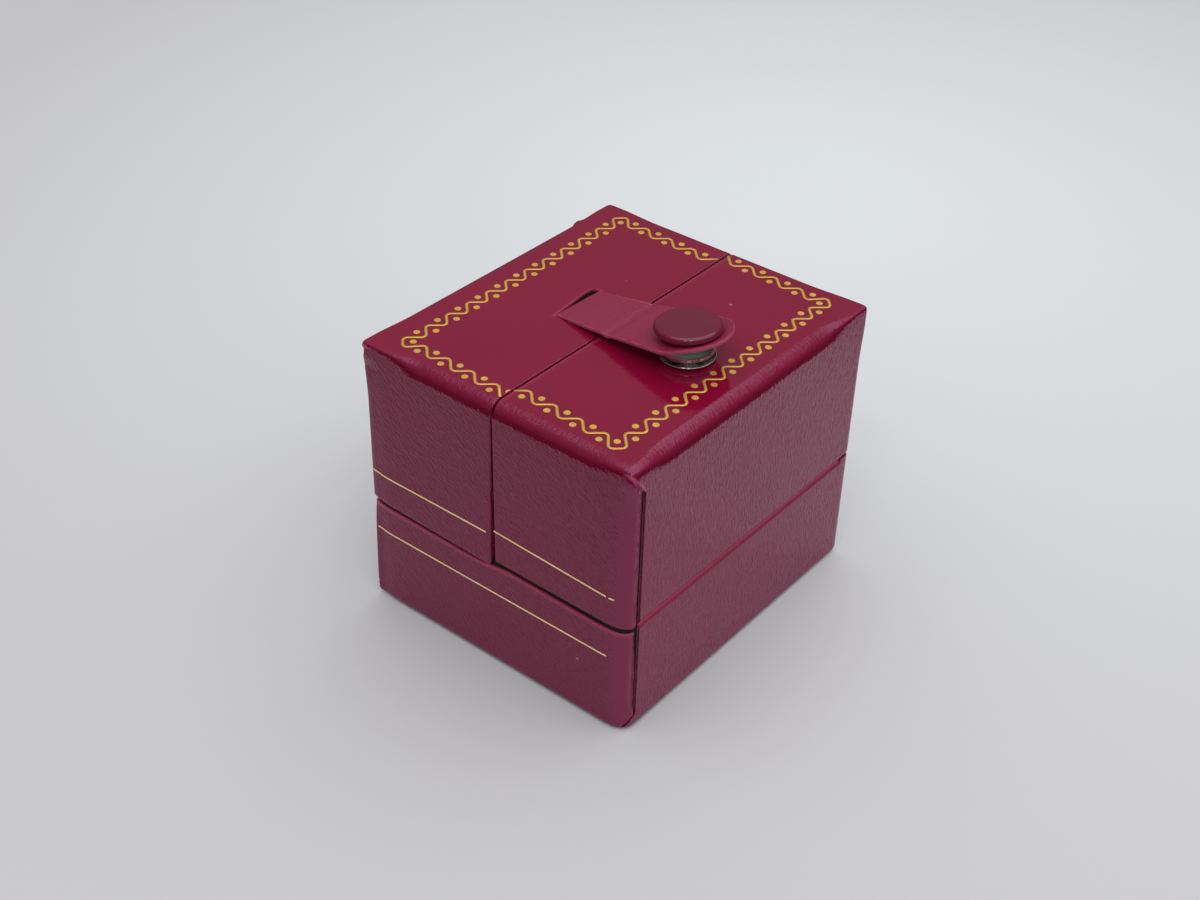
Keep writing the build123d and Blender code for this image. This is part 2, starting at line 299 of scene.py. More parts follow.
grain_group, fleck_group = pressed_grain(), flecks()
print("shared groups:", grain_group.name, fleck_group.name)

# %% [markdown]
# The leatherette itself. Object coordinates and the object's own normal decide which grain shows, so the
# pattern travels with a door when it opens. Where the sheet is bent over the rounded edges it puckers into
# fine wrinkles across the edge, and a dark band of painted shade lies along the bend. The walls are duller
# than the top; the front is darkened by painted shade, the sides are tinted bluer by a painted reflection,
# and the grain's hollows are darkened by painted shade. An attribute painted on the mesh lightens the crimson
# to pink: for wear where an edge is rubbed, as painted highlights on lit edges, and as painted light in the
# crease.

# %% Leatherette
crimson = (0.222, 0.003, 0.029, 1.0)
tab_crimson = (0.27, 0.012, 0.05, 1.0)
# Pink for wear and for painted highlights on lit edges.
pink_wear_and_highlight = (0.42, 0.055, 0.12, 1.0)
# Pink painted as light in the crease's shaded groove.
crease_painted_light_pink = (0.42, 0.012, 0.075, 1.0)
front_painted_shade = (0.12, 0.004, 0.028, 1.0)    # painted shade on the front and a painted bluish reflection on the sides
side_painted_reflection = (0.2, 0.008, 0.055, 1.0)
painted_bend_colour = (0.075, 0.0, 0.008, 1.0)      # painted shade: the dark band on a bent edge
lint_colour = (0.6, 0.3, 0.36, 1.0)
cool_gloss = (0.8, 0.64, 1.0, 1.0)
cloud_shade = 0.8                 # the darker clouds' share of the colour
grain_sharpness = 40.0            # how soon a grain ends where the sheet turns away
grain_middle = 0.45               # height of the plain sheet within the grain
grain_painted_shade = 0.35                # painted shade in the grain's hollows: how much darker they are
pucker_depth = 0.4
painted_bend_middle, painted_bend_half = 0.38, 0.36    # where the painted dark band lies, by how far the face looks up


def leatherette(name, colour, wear_and_painted_light_colour, roughness, grain_depth, top_share, painted_bend_shade=0.0, wall_painted_light=0.0):
    """Grained leatherette. The roughness is given for the top, the sides and the front."""
    material, tree, shader = new_material(name)
    coordinates = add(tree, "TexCoord")
    place = coordinates.outputs["Object"]
    facing = add(tree, "VectorMath", operation="ABSOLUTE")
    join(tree, coordinates.outputs["Normal"], facing.inputs[0])
    ways = add(tree, "SeparateXYZ")
    join(tree, facing, ways.inputs[0])
    to_side, to_front, to_top = ways.outputs

    def times(first, second):
        return math_node(tree, "MULTIPLY", first, second)

    def grain(turned, stretched, scale, pebble):
        mapping = textured(tree, "Mapping", place, vector_type="TEXTURE", rotation=turned, scale=stretched)
        node = use_group(tree, grain_group, scale=scale, pebble=pebble)
        join(tree, mapping, node.inputs["Vector"])
        return node

    grains = (
        (to_top, top_share, grain((0, 0, 0), (1.0, 1.0, 1.0), 1700.0, 0.35)),
        (to_front, 0.8, grain((0, math.radians(38), 0), (1.9, 1.0, 0.8), 1900.0, 0.5)),
        (to_side, 1.0, grain((math.radians(10), 0, 0), (1.0, 0.7, 2.3), 1900.0, 0.35)),
    )
    height = 0.0
    for weight, share, source in grains:
        here = times(math_node(tree, "POWER", weight, grain_sharpness), share)
        part = times(here, math_node(tree, "SUBTRACT", source, grain_middle))
        height = math_node(tree, "ADD", height, part)
    painted_grain_shade = math_node(tree, "ADD", times(height, grain_painted_shade), 1.0)

    # Puckers over the rounded edges: bands across the edge, only where the face looks both ways
    for stretched, other in (((0.5, 0.22, 1.0), to_side), ((0.22, 0.5, 1.0), to_front)):
        bands = grain((0, 0, 0), stretched, 420.0, 0.0)
        both = times(times(to_top, other), pucker_depth)
        height = math_node(tree, "ADD", height, times(both, bands))
    bumped(tree, shader, height, 1.0, grain_depth)

    clouds = textured(tree, "TexNoise", place, scale=60.0, detail=3.0)
    shade = tuple(cloud_shade * c for c in colour[:3]) + (1.0,)
    tinted = blend_colours(tree, clouds, shade, colour)
    # Painted shade in the grain's hollows darkens the colour.
    tinted = blend_colours(tree, 1.0, tinted, painted_grain_shade, "MULTIPLY")
    # Painted shade darkens the front, and a painted reflection tints the sides bluer.
    tinted = blend_colours(tree, times(to_front, wall_painted_light), tinted, front_painted_shade)
    tinted = blend_colours(tree, times(to_side, wall_painted_light), tinted, side_painted_reflection)
    # Painted shade: a dark band where the face turns over the bent edges.
    off_painted_bend = math_node(tree, "ABSOLUTE", math_node(tree, "SUBTRACT", to_top, painted_bend_middle))
    bend = math_node(tree, "SUBTRACT", 1.0, math_node(tree, "DIVIDE", off_painted_bend, painted_bend_half), clamp=True)
    tinted = blend_colours(tree, times(bend, painted_bend_shade), tinted, painted_bend_colour)
    # Pink where the mesh's attribute says: wear, painted highlights on lit edges and painted light in the
    # crease.
    wear_and_painted_light = add(tree, "Attribute", attribute_name="wear_and_painted_light").outputs["Fac"]
    broken = math_node(tree, "MULTIPLY", wear_and_painted_light, math_node(tree, "ADD", clouds, 0.35), clamp=True)
    tinted = blend_colours(tree, broken, tinted, wear_and_painted_light_colour)
    lint = use_group(tree, fleck_group, scale=380.0, amount=0.018)
    join(tree, place, lint.inputs["Vector"])
    join(tree, blend_colours(tree, times(lint, 0.35), tinted, lint_colour), shader.inputs["Base Color"])

    top_roughness, side_roughness, front_roughness = roughness
    wall = ranged(tree, to_front, side_roughness, front_roughness, from_min=0.4, from_max=0.8)
    gloss = ranged(tree, to_top, 0.0, top_roughness, from_min=0.03, from_max=0.18)
    join(tree, wall, gloss.inputs["To Min"])
    uneven = times(math_node(tree, "SUBTRACT", clouds, 0.5), 0.06)
    join(tree, math_node(tree, "ADD", gloss, uneven), shader.inputs["Roughness"])
    set_values(shader, {"Specular IOR Level": 0.8, "Specular Tint": cool_gloss})
    return material


leather = leatherette(
    "leatherette", crimson, pink_wear_and_highlight, roughness=(0.05, 0.28, 0.48),
    grain_depth=0.62, top_share=0.05, painted_bend_shade=0.75, wall_painted_light=0.4,
)
tab_leather = leatherette(
    "tab_leatherette", tab_crimson, pink_wear_and_highlight, roughness=(0.40, 0.45, 0.45), grain_depth=0.3, top_share=0.8
)
crease_leather = leatherette(
    "creased_leatherette", crimson, crease_painted_light_pink, roughness=(0.6, 0.55, 0.6), grain_depth=0.3, top_share=0.5
)
print("finishes:", leather.name, tab_leather.name, crease_leather.name)

# %% [markdown]
# Foil, moulded plastic and card are all plain finishes that a fine noise makes a little uneven in
# colour, gloss and surface, so they share one function. Real foil takes its unevenness from the grain
# below it. The trays are dark plastic, and the boards are grey card.

# %% Foil, plastic and card


def uneven_finish(name, dark, light, scale, detail, roughness, strength, depth, values):
    """A finish whose colour, roughness and surface all follow one fine noise."""
    material, tree, shader = new_material(name)
    uneven = textured(tree, "TexNoise", object_place(tree), scale=scale, detail=detail)
    join(tree, blend_colours(tree, uneven, dark, light), shader.inputs["Base Color"])
    join(tree, ranged(tree, uneven, *roughness), shader.inputs["Roughness"])
    bumped(tree, shader, uneven, strength, depth)
    set_values(shader, values)
    return material


foil_surface = {"scale": 900.0, "detail": 3.0, "roughness": (0.3, 0.55), "strength": 0.6, "depth": 0.02}
foil = uneven_finish(
    "gold_foil", (0.64, 0.37, 0.05, 1), (0.9, 0.58, 0.12, 1), values={"Metallic": 0.5}, **foil_surface
)
pale_foil = uneven_finish(
    "pale_gold_foil", (0.9, 0.58, 0.26, 1), (1.0, 0.8, 0.48, 1), values={"Metallic": 0.3}, **foil_surface
)
tray = uneven_finish(
    "tray_plastic", (0.008, 0.003, 0.004, 1), (0.014, 0.006, 0.008, 1), scale=900.0, detail=4.0,
    roughness=(0.52, 0.68), strength=0.7, depth=0.01, values={"Specular IOR Level": 0.15},
)
card = uneven_finish(
    "card", (0.22, 0.19, 0.16, 1), (0.32, 0.28, 0.24, 1), scale=1400.0, detail=4.0,
    roughness=(0.77, 0.93), strength=0.7, depth=0.03, values={},
)
print("finishes:", foil.name, pale_foil.name, tray.name, card.name)

# %% [markdown]
# The press stud has a lacquered cap over nickel. Lacquer is a smooth colour under a clear coat, with a
# few dull specks. Nickel is a metal with faint turning rings round the snap's middle and dull patches.

# %% Lacquer and nickel


def cap_lacquer():
    """Dark crimson lacquer under a thin clear coat."""
    material, tree, shader = new_material("cap_lacquer")
    place = object_place(tree)
    clouds = textured(tree, "TexNoise", place, scale=180.0, detail=2.0)
    colour = blend_colours(tree, clouds, (0.115, 0.004, 0.024, 1), (0.15, 0.007, 0.034, 1))
    join(tree, colour, shader.inputs["Base Color"])
    specks = use_group(tree, fleck_group, scale=700.0, amount=0.03)
    join(tree, place, specks.inputs["Vector"])
    join(tree, ranged(tree, specks, 0.1, 0.35), shader.inputs["Roughness"])
    set_values(shader, {"Coat Weight": 0.3, "Coat Roughness": 0.05})
    return material


def nickel():
    """Turned and plated metal."""
    material, tree, shader = new_material("nickel")
    place = object_place(tree)
    centre = textured(tree, "Mapping", place, location=(-snap_x * MM, -snap_y * MM, 0))
    rings = textured(
        tree, "TexWave", centre, wave_type="RINGS", rings_direction="Z", scale=900.0, distortion=0.5
    )
    dull = textured(tree, "TexNoise", place, scale=500.0, detail=3.0)
    colour = blend_colours(tree, dull, (0.6, 0.58, 0.55, 1), (0.8, 0.79, 0.77, 1))
    join(tree, colour, shader.inputs["Base Color"])
    join(tree, ranged(tree, dull, 0.12, 0.28), shader.inputs["Roughness"])
    bumped(tree, shader, rings, 0.3, 0.01)
    set_values(shader, {"Metallic": 1.0})
    return material


lacquer, metal = cap_lacquer(), nickel()
print("finishes:", lacquer.name, metal.name)

# %% [markdown]
# The inside is ivory: velvet on the rolls and linings, satin on the pads under the doors. Both are
# cloth with a lit pile, which the Principled shader's sheen gives. The satin's nap runs one way, so
# its noise is stretched along the thread, and it is smoother than the velvet.

# %% Velvet and satin


def napped(name, colour, shade, nap_scale, stretch, depth, values):
    """Cloth with a lit pile: colour clouds where the nap is brushed, a fine bump, and sheen."""
    material, tree, shader = new_material(name)
    place = object_place(tree)
    brushed = textured(tree, "TexNoise", place, scale=140.0, detail=2.0, distortion=1.0)
    join(tree, blend_colours(tree, brushed, shade, colour), shader.inputs["Base Color"])
    mapping = textured(tree, "Mapping", place, scale=stretch)
    pile = textured(tree, "TexNoise", mapping, scale=nap_scale, detail=2.0)
    bumped(tree, shader, pile, 0.8, depth)
    set_values(shader, values)
    return material


velvet = napped(
    "velvet", (0.72, 0.64, 0.5, 1), (0.56, 0.48, 0.36, 1), nap_scale=3200.0, stretch=(1, 1, 1), depth=0.08,
    values={"Roughness": 0.85, "Sheen Weight": 0.6, "Sheen Roughness": 0.35},
)
satin = napped(
    "satin", (0.78, 0.71, 0.58, 1), (0.68, 0.6, 0.47, 1), nap_scale=2600.0, stretch=(0.15, 1, 1), depth=0.02,
    values={"Roughness": 0.38, "Sheen Weight": 0.25, "Sheen Roughness": 0.3},
)
print("finishes:", velvet.name, satin.name)

# %% [markdown]
# Every piece ends the same way: the millimetre mesh is scaled to metres, gets smooth shading with
# sharp edges kept, its finish, and the body that it rides on. A sheet is first drawn as its outer face
# alone, and Solidify then gives it its thickness inwards.

# %% Piece helpers


def at(edge, axis, value):
    """True if both ends of the edge lie at that value on the axis."""
    return all(abs(v.co[axis] - value) < 1e-3 for v in edge.verts)


def looking(bm, direction):
    """The faces that look straight that way."""
    bm.normal_update()
    return [f for f in bm.faces if f.normal.dot(Vector(direction)) > 0.999]


def edges_of(faces):
    """The edges round some faces."""
    return list({edge for face in faces for edge in face.edges})


def all_of(faces):
    """The faces with their corners and edges, as bmesh operators ask for them."""
    return list({v for f in faces for v in f.verts}) + edges_of(faces) + faces


def box_between(low, high):
    """A bmesh box between two corners."""
    bm = bmesh.new()
    bmesh.ops.create_cube(bm, size=1)
    bmesh.ops.scale(bm, vec=Vector(high) - Vector(low), verts=bm.verts)
    bmesh.ops.translate(bm, vec=(Vector(low) + Vector(high)) / 2, verts=bm.verts)
    return bm


def rounded(bm, edges, radius, segments):
    """Rounds some edges of the mesh."""
    bmesh.ops.bevel(
        bm, geom=edges, offset=radius, segments=segments, profile=0.5, affect="EDGES", material=-1
    )


def sliced(bm, axis, places, faces=None):
    """Cuts the mesh, or some of its faces, with planes across an axis."""
    normal = Vector([float(i == axis) for i in range(3)])
    for place in places:
        chosen = bm.faces[:] if faces is None else [f for f in faces if f.is_valid]
        bmesh.ops.bisect_plane(bm, geom=all_of(chosen), dist=1e-4, plane_co=normal * place, plane_no=normal)


def mirrored(bm):
    """Flips a right-hand piece over to the left."""
    bmesh.ops.scale(bm, vec=(-1, 1, 1), verts=bm.verts)
    bmesh.ops.reverse_faces(bm, faces=bm.faces[:])


def removed(bm, test):
    """Deletes the faces whose middle passes the test."""
    gone = [f for f in bm.faces if test(f.calc_center_median())]
    bmesh.ops.delete(bm, geom=gone, context="FACES")


def steps(low, high, step):
    """Evenly spaced places between two ends."""
    count = max(1, round((high - low) / step))
    return [low + (high - low) * i / count for i in range(1, count)]


def fade(value, start, end):
    """Smooth step from 0 at start to 1 at end."""
    share = min(1.0, max(0.0, (value - start) / (end - start)))
    return share * share * (3 - 2 * share)


def finished(bm, name, finish, body=None, stands_for=(), thickness=0.0, sharp=38):
    """Turns a millimetre bmesh into a piece of the object."""
    bmesh.ops.scale(bm, vec=(MM, MM, MM), verts=bm.verts)
    mesh = bpy.data.meshes.new(name)
    bm.to_mesh(mesh)
    bm.free()
    piece = linked(name, mesh)
    if thickness:
        wall = piece.modifiers.new("thickness", "SOLIDIFY")
        wall.thickness = thickness * MM
        wall.offset = -1
        wall.use_quality_normals = True
        settled(piece)
    piece.data.shade_smooth()
    piece.data.set_sharp_from_angle(angle=math.radians(sharp))
    piece.data.materials.append(finish)
    if stands_for:
        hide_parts(*stands_for)
    if body:
        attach(piece, body)
    print(f"{name}: {len(piece.data.vertices)} vertices, {len(piece.data.polygons)} faces")
    return piece


def settled(piece):
    """Applies the piece's modifiers to its mesh."""
    graph = bpy.context.evaluated_depsgraph_get()
    mesh = bpy.data.meshes.new_from_object(piece.evaluated_get(graph))
    piece.modifiers.clear()
    piece.data = mesh


print("piece helpers ready")

# %% [markdown]
# A door's leatherette is one sheet, folded over the tray like paper round a parcel. It starts as a
# box whose outer edges are bevelled round. The two faces where the door is open are inset to leave
# the lip where the sheet is turned in, and then removed. A slit in front of the side panel shows where
# the front flap tucks in under it; at the back the fold is drawn tight and doesn't show.

# %% Door leatherette: the folded sheet
sheet_thickness = 0.4
corner_rounding = 2.9
lip_rounding = 0.28
lip_width = 1.15
lip_reach = lip_rounding + lip_width
slit_drop = 4.5
flap_slant = 0.62          # the fold's run from the slit's head to the corner
mesh_step = 1.0
fine_step = mesh_step / 3  # by the corners and the top edge
fine_drop = 6.0            # how far below the top the fine mesh starts
cut_margin = 0.05          # so that no face on a limit is missed


def flap_line(z):
    """Where the flap goes under the side panel: along the slit, then slanting to the corner."""
    return (strip_edge + wrap_edge) / 2 + max(0.0, z - top + slit_drop) * flap_slant


def door_sheet():
    """Outer face of the right door's leatherette, before it is settled."""
    bm = box_between(door_low, door_high)
    upper = [e for e in bm.edges if at(e, 2, top) and not at(e, 0, split_half)]
    outer = [e for e in bm.edges if at(e, 0, half_width) and not at(e, 2, top) and not at(e, 2, door_foot)]
    rounded(bm, upper + outer, corner_rounding, 10)
    rounded(bm, edges_of(looking(bm, (-1, 0, 0)) + looking(bm, (0, 0, -1))), lip_rounding, 3)
    openings = looking(bm, (-1, 0, 0)) + looking(bm, (0, 0, -1))
    openings = [f for f in openings if f.calc_area() > corner_rounding]
    bmesh.ops.inset_individual(bm, faces=openings, thickness=lip_width, use_even_offset=True)
    bmesh.ops.delete(bm, geom=openings, context="FACES")

    slit_top, fine_foot = top - slit_drop, top - fine_drop
    sliced(bm, 0, steps(split_half, half_width, mesh_step))
    by_corner = steps(strip_edge, half_depth, fine_step)
    by_corner += [strip_edge, wrap_edge, half_depth - lip_reach]
    sliced(bm, 1, steps(-strip_edge, strip_edge, mesh_step) + by_corner + [-y for y in by_corner])
    heights = steps(door_foot, fine_foot, mesh_step) + steps(fine_foot, top, fine_step)
    sliced(bm, 2, heights + [slit_top, strip_foot])
    side = half_width - corner_rounding
    head = [f for f in bm.faces if f.calc_center_median().x > side and f.calc_center_median().z > slit_top]
    fold = Vector((0, -flap_line(slit_top), slit_top))
    bmesh.ops.bisect_plane(bm, geom=all_of(head), dist=1e-3, plane_co=fold, plane_no=(0, -1, -flap_slant))
    removed(bm, lambda p: p.x > side and -wrap_edge < p.y < -strip_edge and p.z < slit_top)
    removed(bm, lambda p: p.x > side and -wrap_edge < p.y < strip_edge and p.z < strip_foot)
    inner = (split_half + lip_reach + cut_margin, half_depth - lip_reach, door_foot + lip_reach + cut_margin)
    removed(bm, lambda p: p.x < inner[0] and abs(p.y) < inner[1] and p.z < inner[2])
    return bm


print(f"door sheet: {sheet_thickness} mm thick, folded round corners of {corner_rounding} mm")

# %% [markdown]
# No two edges of the real box are quite straight. The top corners are pinched to points where the
# sheet is folded, the front flaps dip towards the slits, and they hang lower than the sides, most of all
# on the left door. These small moves are smooth functions of the place, so the sheet bends and doesn't
# break.

# %% Door leatherette: settled on the trays
edge_power = 1.85          # how square the top edges are; 2 is a plain round edge
far_edge_power = 4.5       # the same at the left and at the back, where the edges are drawn tighter
corner_power = 3.2         # and at the folded top corners: the near one, and the others
far_corner_power = 9.0
corner_length = 9.0        # over which the edges turn from round to square
near_corner_length = 6.0   # the same at the near corner, which stays padded
flap_dip = 0.38            # how far the front flaps lie below the side panel at the slit
flap_reach = 1.5
fold_rise = 0.12           # rolled edge of the side panel over the flap
flap_ease = 0.3            # extra fall of the flap before the corner
ease_length = 4.8
split_top, split_low = 0.14, 0.5               # half the gap between the doors, above and below
foot_drop = {-1: (1.3, 2.2), 1: (0.7, 0.95)}   # of the front flaps, at the left end and the right end
foot_zone = 8.0                                # over which the flap is drawn down
ear_y, ear_z, ear_size = 23.0, top - 1.3, 0.9  # a stray fold on the left door's outer edge


def squared(offset, power):
    """Moves an offset from a round corner's middle outwards, to a corner of that squareness."""
    total = sum(c ** power for c in offset) ** (1 / power)
    return offset * (offset.length / total) if total > 0 else offset


def square_corners(v, side):
    """Draws the round top corners out to folded points."""
    middle = Vector((half_width, half_depth, top)) - Vector((corner_rounding,) * 3)
    way = Vector([math.copysign(1, c) for c in v.co])
    beyond = [abs(c) - m for c, m in zip(v.co, middle)]
    offset = Vector([max(0.0, b) for b in beyond])
    near = side > 0 and v.co.y < 0
    length = near_corner_length if near else corner_length
    to_side, to_front, to_top = (fade(b, -length, 0) for b in beyond)
    far = max(to_side if side < 0 else 0, to_front if v.co.y > 0 else 0)
    power = edge_power + (far_edge_power - edge_power) * far
    power = 2 + (power - 2) * fade(beyond[2], -2, 0)
    if not near:
        power = max(power, far_edge_power * to_side * to_front)
    tip = corner_power if near else far_corner_power
    power = 1 / (1 / power + (1 / tip - 1 / power) * to_side * to_front * to_top)
    v.co += way * (squared(offset, power) - offset)


def settle_door(bm, side):
    """Moves the sheet's points by the small irregularities of the left (-1) or right (1) door."""
    wear_and_painted_light = bm.verts.layers.float.new("wear_and_painted_light")
    for v in bm.verts:
        x, y, z = v.co
        square_corners(v, side)
        at_front = fade(-y, half_depth - 6, half_depth - 3)
        down = (top - z) / (top - door_foot)
        outwards = split_top + (split_low - split_top) * down * at_front - split_half
        v.co.x += side * outwards * (1 - fade(abs(x), 1, 6))
        near_foot = 1 - fade(z, door_foot, door_foot + foot_zone)
        inner_drop, outer_drop = foot_drop[side] if side > 0 else reversed(foot_drop[side])
        drop = inner_drop + (outer_drop - inner_drop) * abs(x) / half_width
        v.co.z -= drop * near_foot * fade(-y, strip_edge, wrap_edge)
        beyond = -y - flap_line(z)
        if abs(x) > half_width - corner_rounding - 1 and beyond > 0.02:
            dip = flap_dip * (1 - fade(beyond, 0, flap_reach)) * (1 - fade(z, top - 2.0, top - 0.8))
            v.co.x -= side * dip
        v.co.y += corner_ease(abs(x)) * (beyond > 0) * (1 - fade(z, top - 5, top - 2))
        if side < 0 and x < 3 - half_width:
            off_ear = Vector(((y - ear_y) / 0.8, z - ear_z))
            v.co.x -= ear_size * math.exp(-off_ear.length_squared)
        # Pink along the right door's split edge on top: wear and a painted highlight on its rounding.
        v[wear_and_painted_light] = 0.55 * (1 - fade(abs(x), 0.3, 0.8)) * fade(z, top - 1.2, top - 0.2) * (side > 0)
        # The rolled fold over the flap is lifted and painted pink along its line.
        if abs(x) > half_width - corner_rounding and top - slit_drop < z < top - 1.2:
            v[wear_and_painted_light] = 1.0 - fade(abs(beyond), 0.02, 0.4)
            v.co.x += side * fold_rise * v[wear_and_painted_light]


def corner_ease(x):
    """The flaps start to turn well before the corner, so the front face falls off towards it."""
    share = (x - half_width + ease_length) / ease_length
    return flap_ease * fade(share, 0, 0.7) * (1 - fade(share, 0.75, 1.0))


print(f"split between the doors: {2 * split_top:.2f} mm on top, {2 * split_low:.2f} mm at the front's foot")

# %% [markdown]
# The tab comes up through a slit in the left door's top. The sheet is cut along a slightly slanting
# line, the cut is opened by splitting its edges, and the lip on the left is drawn back and lifted: the
# opening is widest towards its back end and closes towards the front.

# %% Slit for the tab
slit_ends = (Vector((-9.75, -5.6, 0)), Vector((-9.15, 5.9, 0)))
slit_opening = 1.25
slit_lift = 0.1


def slit_x(y):
    """Place of the tab's slit at a depth."""
    share = (y - slit_ends[0].y) / (slit_ends[1].y - slit_ends[0].y)
    return slit_ends[0].x + share * (slit_ends[1].x - slit_ends[0].x)


def open_slit(bm):
    """Cuts the left door's top for the tab and draws the cut's left lip back."""
    low, high = slit_ends[0].y, slit_ends[1].y

    def roof():
        return [f for f in bm.faces if f.calc_center_median().z > top - 0.01]

    sliced(bm, 1, [low, high], roof())
    chosen = [f for f in roof() if low < f.calc_center_median().y < high]
    run = slit_ends[1] - slit_ends[0]
    normal = Vector((run.y, -run.x, 0)).normalized()
    start = slit_ends[0] + Vector((0, 0, top))
    cut = bmesh.ops.bisect_plane(bm, geom=all_of(chosen), dist=1e-4, plane_co=start, plane_no=normal)
    seam = [e for e in cut["geom_cut"] if isinstance(e, bmesh.types.BMEdge)]
    bmesh.ops.split_edges(bm, edges=seam)
    wear_and_painted_light = bm.verts.layers.float["wear_and_painted_light"]
    for v in bm.verts:
        x, y, z = v.co
        if z < top - 0.01 or not v.link_faces:
            continue
        across = sum(f.calc_center_median().x for f in v.link_faces) / len(v.link_faces) - slit_x(y)
        ends = fade(y, low, low + 2) * (1 - fade(y, high - 0.7, high))
        if across < 0 and low - 1e-3 < y < high + 1e-3:
            close = math.exp(-((x - slit_x(y)) / 1.3) ** 2)
            v.co.x -= slit_opening * fade(y, low, high - 1) * (1 - fade(y, high - 0.5, high)) * close
            v.co.z += slit_lift * ends * close
            v[wear_and_painted_light] = max(v[wear_and_painted_light], 0.6 * (1 - fade(slit_x(y) - x, 0.05, 0.35)))


print(f"tab slit {(slit_ends[1] - slit_ends[0]).length:.1f} mm long")

# %% [markdown]
# Both doors come from the same sheet. It is drawn for the right door, and the left one is its mirror image,
# settled in its own way and cut for the tab. A thin dark plate under the slit is painted shade: it stands for
# the shadowed hollow that the tab comes out of, so that no light shows through.

# %% Doors
doors = {"left_door": -1, "right_door": 1}     # and the side of the box that each is on
shade_plate_reach = 1.6         # of the dark plate of painted shade, to the left of the slit
shade_plate_drop = (0.2, 0.1)   # its lower and upper face below the sheet

for door, side in doors.items():
    skin = door_sheet()
    if door == "left_door":
        mirrored(skin)
    settle_door(skin, side)
    if door == "left_door":
        open_slit(skin)
    finished(skin, door + "_leatherette", leather, door, [door + "_cover"], sheet_thickness)
# A dark plate of painted shade under the tab's slit.
below, above = (top - sheet_thickness - drop for drop in shade_plate_drop)
slit_shade_plate = box_between(
    (slit_ends[0].x - shade_plate_reach, slit_ends[0].y + 0.2, below),
    (slit_ends[1].x + 0.05, slit_ends[1].y - 0.05, above),
)
finished(slit_shade_plate, "tab_slit_painted_shade", tray, "left_door")

# %% [markdown]
# The base is made the same way: a box with rounded corners and a rounded foot, open at the rim. Three
# sheets cover the real one. Two flaps wrap the front and back round the corners, and one strip runs
# down each side and under the bottom. So one bmesh is made, cut along the slits, and kept in three
# parts. The front rim hangs unevenly, and the left front corner is folded tighter towards its foot.

# %% Base leatherette
foot_rounding = 1.3
corner_rise = 3.2          # where the slit starts to curve under the corner
corner_slide = 1.1         # how far it runs round the corner, in radians
corner_spread = 0.15       # extra for the flaps, which opens the slit there
slit_widening = 0.45       # of the base's slits at the rim
slit_closing = 0.12        # and the narrowing below the middle
left_inset = 0.35          # the base's left side stands back under the door
left_foot_power = 10.0     # squareness of the base's left front corner at the foot and at the rim
left_rim_power = 3.5
# Places along the front, and how far the rim hangs below its level there
rim_drop = ((-28.5, 1.6), (-4.0, 2.0), (3.0, 1.15), (22.0, 1.5), (28.5, 1.25))


def slide_round(v):
    """Lets the front slits run forward round the corner as they go under the foot."""
    middle = Vector((half_width - corner_rounding, half_depth - corner_rounding))
    beyond = Vector((abs(v.co.x), abs(v.co.y))) - middle
    if beyond.x <= 0.05 or v.co.y > 0:
        return
    radius = beyond.length if beyond.y > 0 else beyond.x
    angle = math.atan2(beyond.y, beyond.x) if beyond.y > 0 else beyond.y / radius
    share = fade(angle, -1.5, -0.1) if angle < 0 else max(0.0, 1 - angle / (math.pi / 2))
    slide = corner_slide + (corner_spread if abs(v.co.y) > strip_edge + 0.1 else 0)
    angle += slide * max(0.0, 1 - v.co.z / corner_rise) * share
    if angle > 0:
        place = middle + Vector((math.cos(angle), math.sin(angle))) * radius
    else:
        place = middle + Vector((radius, angle * radius))
    v.co.x, v.co.y = math.copysign(place.x, v.co.x), math.copysign(place.y, v.co.y)


def square_base(v):
    """Draws the base's upright corners out: the back ones as on the doors, the left one most at its foot."""
    if v.co.y > 0:
        square_corners(v, math.copysign(1, v.co.x))
    elif v.co.x < 0:
        beyond = (corner_rounding - half_width - v.co.x, corner_rounding - half_depth - v.co.y, 0)
        offset = Vector([max(0.0, b) for b in beyond])
        power = left_foot_power + (left_rim_power - left_foot_power) * max(0.0, v.co.z / rim)
        v.co -= squared(offset, power) - offset


def drop_along(x):
    """How far the front rim hangs below its level at a place along the front."""
    for (start, first), (end, last) in zip(rim_drop, rim_drop[1:]):
        if x < end:
            return first + (last - first) * max(0.0, (x - start) / (end - start))
    return rim_drop[-1][1]


def settle_base(bm):
    """Small irregularities of the base: an uneven rim, a narrower left side and a rim painted pink, as wear
    and a painted highlight.
    """
    wear_and_painted_light = bm.verts.layers.float.new("wear_and_painted_light")
    for v in bm.verts:
        slide_round(v)
        square_base(v)
        x, y, z = v.co
        beyond = -y - wrap_edge
        if abs(x) > half_width - corner_rounding - 1 and beyond > -1e-3 and z > corner_rise:
            near_slit = (1 - fade(beyond, 0, flap_reach)) * fade(z, corner_rise, corner_rise + 2)
            v.co.x -= math.copysign(flap_dip * near_slit, x)
            widening = (slit_widening + slit_closing) * fade(z, rim - 10, rim - 1) - slit_closing
            v.co.y -= widening * near_slit
        on_flap = fade(-y, strip_edge, wrap_edge)
        v.co.z -= drop_along(x) * on_flap * fade(z, rim - 6, rim)
        v.co.x += left_inset * fade(-x, 20, 28)
        v.co.y += corner_ease(abs(x)) * (-y > wrap_edge)
        # The rim is painted pink: wear and a painted highlight on its rolled edge.
        v[wear_and_painted_light] = 0.6 * fade(z, rim - 0.5, rim - 0.15) * on_flap


